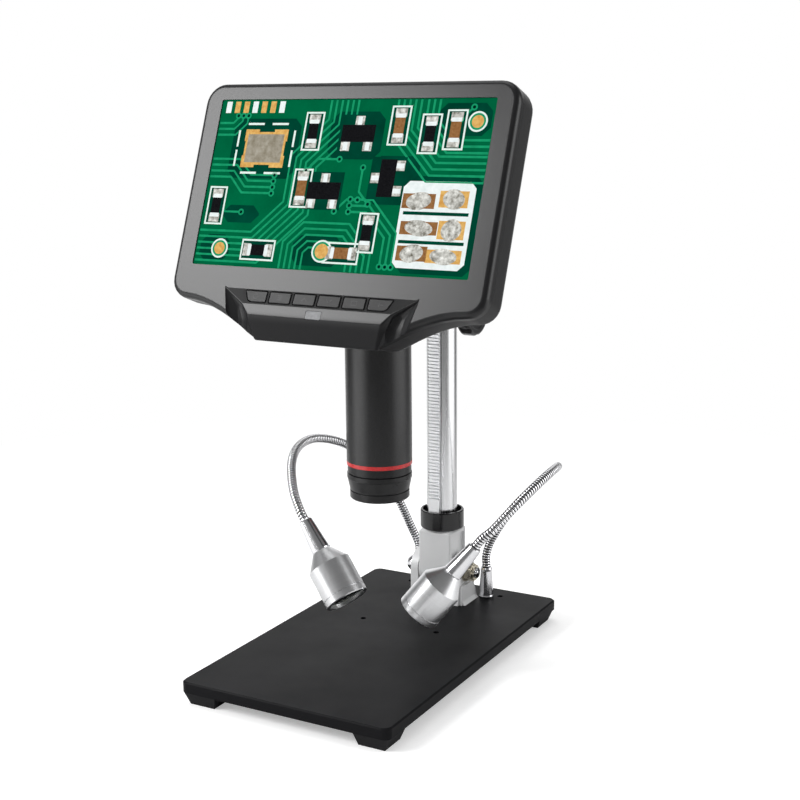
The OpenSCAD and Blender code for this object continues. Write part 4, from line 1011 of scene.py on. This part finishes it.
    def parts(self):
        """Copper areas, parts, pads and printed marks, spread over the board"""
        for x, y, w, h in AREAS:
            self.pour(x, y, w, h, 4, self.bare)
        self.metal_can(-47, 61, 24, 17)
        self.soldered_field(55, 25, 38, 42)
        for x, y, turn, body in CHIPS:
            self.chip_part(x, y, turn, getattr(self, body))
        for x, y, turn in ((6, 69, 0), (26, 47, 90), (-8, 40, 0)):
            self.three_leg(x, y, turn)
        for k in range(7):
            self.slab(-73 + k * 5.4, 82.5, 3.2, 6.0, 0.07, self.gold if k % 3 else self.pale, 0, 0.03)
        for x, y, r in ((-63, 9, 5.0), (-3, 10, 5.6), (69, 75, 5.0)):
            self.disc(x, y, r, 0.05, self.ink, 40)
            self.disc(x, y, r - 0.9, 0.055, self.track, 40)
            self.disc(x, y, r - 1.9, 0.08, self.gold, 40)


# The picture's layout: millimetres from the middle of its lower edge
SINK = 0.01  # how far shapes are let into the board
INK = 0.9  # width of a printed line
TRACK_WIDTH, TRACK_STEP, TRACK_FLATNESS = 1.24, 3.1, 0.045
CHIP_SIZE = (13.5, 6.4)
LEGS = ((-6.2, -6.2), (6.2, -6.2), (0, 6.2))
LUMPS = (
    *((-0.26, 0.27, 15, 9, 8), (0.22, 0.3, 13, 10, -12), (-0.2, -0.04, 17, 8, -6)),
    *((0.25, -0.05, 12, 11, 20), (-0.24, -0.33, 14, 9, 10), (0.2, -0.35, 16, 8, -4)),
)
BUNDLES = (
    (6, [(-12, 86), (-12, 76), (-30, 58), (-30, 34), (-46, 18), (-77, 18)]),
    (5, [(77, 58), (52, 58), (38, 72), (38, 86)]),
    (5, [(24, 0), (24, 10), (10, 24), (-16, 24), (-26, 14), (-26, 0)]),
    (4, [(-77, 46), (-64, 46), (-56, 38), (-38, 38)]),
    (3, [(8, 30), (18, 30), (30, 18), (30, 4)]),
    (3, [(77, 66), (58, 66), (48, 76), (48, 86)]),
    (3, [(-77, 68), (-66, 68), (-60, 74), (-60, 78)]),
)
STUBS = [
    [(-20, 50), (-14, 56), (-2, 56)],
    [(12, 52), (12, 40), (18, 34)],
    [(66, 82), (60, 76)],
    [(-70, 34), (-64, 28), (-54, 28)],
    [(0, 30), (6, 36), (12, 36)],
]
AREAS = (
    *((-47, 61, 40, 31), (5, 68, 30, 24), (-66, 9, 18, 14), (62, 76, 28, 16)),
    *((30, 46, 26, 24), (-6, 10, 28, 15), (-54, 27, 22, 9), (58, 25, 40, 47)),
)
CHIPS = (
    *((-70, 31, 90, "body"), (-20, 70, 90, "body"), (-21, 41, 90, "tan"), (20, 20, 90, "body"), (45, 69, 90, "body")),
    *((58, 71, 90, "tan"), (-40, 9, 0, "body"), (28, 73, 90, "tan"), (8, 9.5, 0, "tan")),
)


def at_part(x, y, turn, dx, dy):
    """Where a point of a turned part lies, from the part's middle and the point's place in the part"""
    c, s = math.cos(math.radians(turn)), math.sin(math.radians(turn))
    return x + dx * c - dy * s, y + dx * s + dy * c


def beside(points, d):
    """The same way, moved sideways by a distance, with its bends kept at their angles"""
    points = [Vector(p) for p in points]
    sides = []
    for a, b in zip(points, points[1:]):
        along = (b - a).normalized()
        sides.append(Vector((-along.y, along.x)))
    sides = [sides[0], *sides, sides[-1]]
    return [tuple(p + d * (m + n) / (1 + m.dot(n))) for p, m, n in zip(points, sides, sides[1:])]


# ---- The studio -------------------------------------------------------------------------------------------------

# What shiny pieces see. Each panel: its direction, how squarely a ray has to look at it for it to start and to be
# full, and its level. The first is the pale backdrop behind the object
DIM_ROOM = 0.18
BACKDROP = ((-0.5, 0.86, 0), 0.6, 0.97, 1.0)
FLOOR_PANELS = (BACKDROP, ((-0.66, -0.75, 0), 0.84, 0.98, 2.4), ((0.94, 0.34, 0), 0.84, 0.98, 1.5))
WORLD_PANELS = (BACKDROP, ((-0.8, -0.6, 0.1), 0.9, 0.99, 0.9), ((0.94, 0.34, 0.1), 0.84, 0.98, 1.4))
FLOOR_FADE = (0.28, 0.6)  # distances from the origin between which the floor turns into the background


class MICROSCOPE_OT_studio(bpy.types.Operator):
    """Sets up the pale floor, the soft lights and the camera"""

    bl_idname = "microscope.studio"
    bl_label = "Floor, lights and camera"

    def execute(self, context):
        look = context.scene.microscope_studio
        self.floor()
        self.world(look.room)
        self.light("key_light", (-0.8, -0.87, 0.88), (0, 0, 0.2), (0.55, 0.55), look.key)
        self.light("side_light", (1.1, 0.3, 0.6), (0, 0, 0.2), (0.5, 0.8), look.key * 0.24)
        self.light("top_light", (-0.25, 0.15, 1.45), (0, 0, 0.1), (0.9, 0.9), look.key * 0.35)
        self.camera(context, look)
        context.scene.view_settings.view_transform = "Standard"
        return {"FINISHED"}

    def floor(self):
        """A white floor that keeps the shadow near the object and runs out into the white background"""
        material = bpy.data.materials.new("pale_floor")
        material.use_nodes = True
        nodes = Nodes(material.node_tree)
        nodes.tree.nodes.clear()
        path = nodes.node("ShaderNodeLightPath").outputs
        place = nodes.node("ShaderNodeTexCoord").outputs["Object"]
        reach = nodes.worked("ShaderNodeVectorMath", "LENGTH", place)
        fade = nodes.ranged(reach, *FLOOR_FADE, 0.0, 1.0)
        soft = nodes.node("ShaderNodeBsdfDiffuse", Color=(0.88, 0.88, 0.88, 1)).outputs["BSDF"]
        lift = nodes.node("ShaderNodeEmission", Strength=0.36).outputs["Emission"]
        white = nodes.node("ShaderNodeEmission").outputs["Emission"]
        lifted = nodes.node("ShaderNodeAddShader")
        nodes.link(soft, lifted.inputs[0])
        nodes.link(lift, lifted.inputs[1])
        away = nodes.worked("ShaderNodeVectorMath", "NORMALIZE", place, result="Vector")
        sheen = nodes.node("ShaderNodeEmission")
        nodes.link(self.surround(nodes, away, FLOOR_PANELS), sheen.inputs["Color"])
        mirrored = nodes.mixed(fade, soft, sheen.outputs["Emission"])
        lighting = nodes.mixed(path["Is Glossy Ray"], soft, mirrored)
        seen = nodes.mixed(fade, lifted.outputs["Shader"], white)
        shown = nodes.mixed(path["Is Camera Ray"], lighting, seen)
        nodes.link(shown, nodes.node("ShaderNodeOutputMaterial").inputs["Surface"])
        bpy.ops.object.select_all(action="DESELECT")
        bpy.ops.mesh.primitive_plane_add(size=12)
        named("studio_floor", material)

    def world(self, strength):
        """An even, pale room as a light, white behind the object, and for what shines a room with bright panels"""
        world = bpy.context.scene.world or bpy.data.worlds.new("room")
        bpy.context.scene.world = world
        world.use_nodes = True
        nodes = Nodes(world.node_tree)
        nodes.tree.nodes.clear()
        path = nodes.node("ShaderNodeLightPath").outputs
        room = nodes.node("ShaderNodeBackground", Color=(1, 1, 1, 1), Strength=strength).outputs["Background"]
        white = nodes.node("ShaderNodeBackground", Color=(1, 1, 1, 1)).outputs["Background"]
        sheen = nodes.node("ShaderNodeBackground")
        away = nodes.node("ShaderNodeTexCoord").outputs["Generated"]
        nodes.link(self.surround(nodes, away, WORLD_PANELS), sheen.inputs["Color"])
        lighting = nodes.mixed(path["Is Glossy Ray"], room, sheen.outputs["Background"])
        seen = nodes.worked("ShaderNodeMath", "MAXIMUM", path["Is Camera Ray"], path["Is Transmission Ray"])
        shown = nodes.mixed(seen, lighting, white)
        nodes.link(shown, nodes.node("ShaderNodeOutputWorld").inputs["Surface"])

    def surround(self, nodes, away, panels):
        """What shines sees of the room: a dim grey, with brighter panels that fade in over a band of directions"""
        total = DIM_ROOM
        for toward, start, end, level in panels:
            facing = nodes.worked("ShaderNodeVectorMath", "DOT_PRODUCT", away, Vector(toward).normalized())
            band = nodes.ranged(facing, start, end, 0.0, level, soft=True)
            total = nodes.worked("ShaderNodeMath", "ADD", band, total)
        return total

    def light(self, name, place, target, size, power):
        """A soft rectangular light, aimed at a point"""
        bpy.ops.object.light_add(type="AREA", location=place)
        o = bpy.context.active_object
        o.name = name
        o.data.shape = "RECTANGLE"
        o.data.size, o.data.size_y = size
        o.data.energy = power
        o.rotation_euler = (Vector(target) - Vector(place)).to_track_quat("-Z", "Y").to_euler()

    def camera(self, context, look):
        """A camera at its place, turned by heading, pitch and roll"""
        yaw, pitch, roll = look.turn
        ahead = Vector((-math.sin(yaw) * math.cos(pitch), math.cos(yaw) * math.cos(pitch), -math.sin(pitch)))
        right = Vector((math.cos(yaw), math.sin(yaw), 0))
        up = right.cross(ahead)
        right, up = right * math.cos(roll) + up * math.sin(roll), up * math.cos(roll) - right * math.sin(roll)
        bpy.ops.object.camera_add()
        o = bpy.context.active_object
        o.name = "camera"
        o.data.lens = look.lens
        o.data.sensor_width = 36
        o.data.clip_start = 0.01
        o.matrix_world = Matrix.Translation(look.place) @ Matrix((right, up, -ahead)).transposed().to_4x4()
        context.scene.camera = o


# ---- Panel and registration -------------------------------------------------------------------------------------


class MICROSCOPE_PT_panel(bpy.types.Panel):
    """Lists the sizes, the colours and the steps"""

    bl_idname = "MICROSCOPE_PT_panel"
    bl_label = "Digital Microscope"
    bl_space_type = "VIEW_3D"
    bl_region_type = "UI"
    bl_category = "Microscope"

    def draw(self, context):
        for group in GROUPS:
            box = self.layout.box()
            settings = getattr(context.scene, group)
            for key in settings.__annotations__:
                box.prop(settings, key)
        for step in STEPS:
            self.layout.operator(step.bl_idname)


GROUPS = {
    "microscope_screen": MicroscopeScreen,
    "microscope_necks": MicroscopeNecks,
    "microscope_finish": MicroscopeFinish,
    "microscope_studio": MicroscopeStudio,
}
STEPS = (
    MICROSCOPE_OT_base,
    MICROSCOPE_OT_pivot,
    MICROSCOPE_OT_column,
    MICROSCOPE_OT_carriage,
    MICROSCOPE_OT_camera,
    MICROSCOPE_OT_housing,
    MICROSCOPE_OT_keys,
    MICROSCOPE_OT_lamps,
    MICROSCOPE_OT_necks,
    MICROSCOPE_OT_picture,
    MICROSCOPE_OT_studio,
)


def register():
    for made in (*GROUPS.values(), *STEPS, MICROSCOPE_PT_panel):
        bpy.utils.register_class(made)
    for name, kind in GROUPS.items():
        setattr(bpy.types.Scene, name, bpy.props.PointerProperty(type=kind))


def unregister():
    for name in GROUPS:
        delattr(bpy.types.Scene, name)
    for made in reversed((*GROUPS.values(), *STEPS, MICROSCOPE_PT_panel)):
        bpy.utils.unregister_class(made)


def main():
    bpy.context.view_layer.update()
    register()
    for step in STEPS:
        group, name = step.bl_idname.split(".")
        getattr(getattr(bpy.ops, group), name)()


if __name__ == "__main__":
    main()
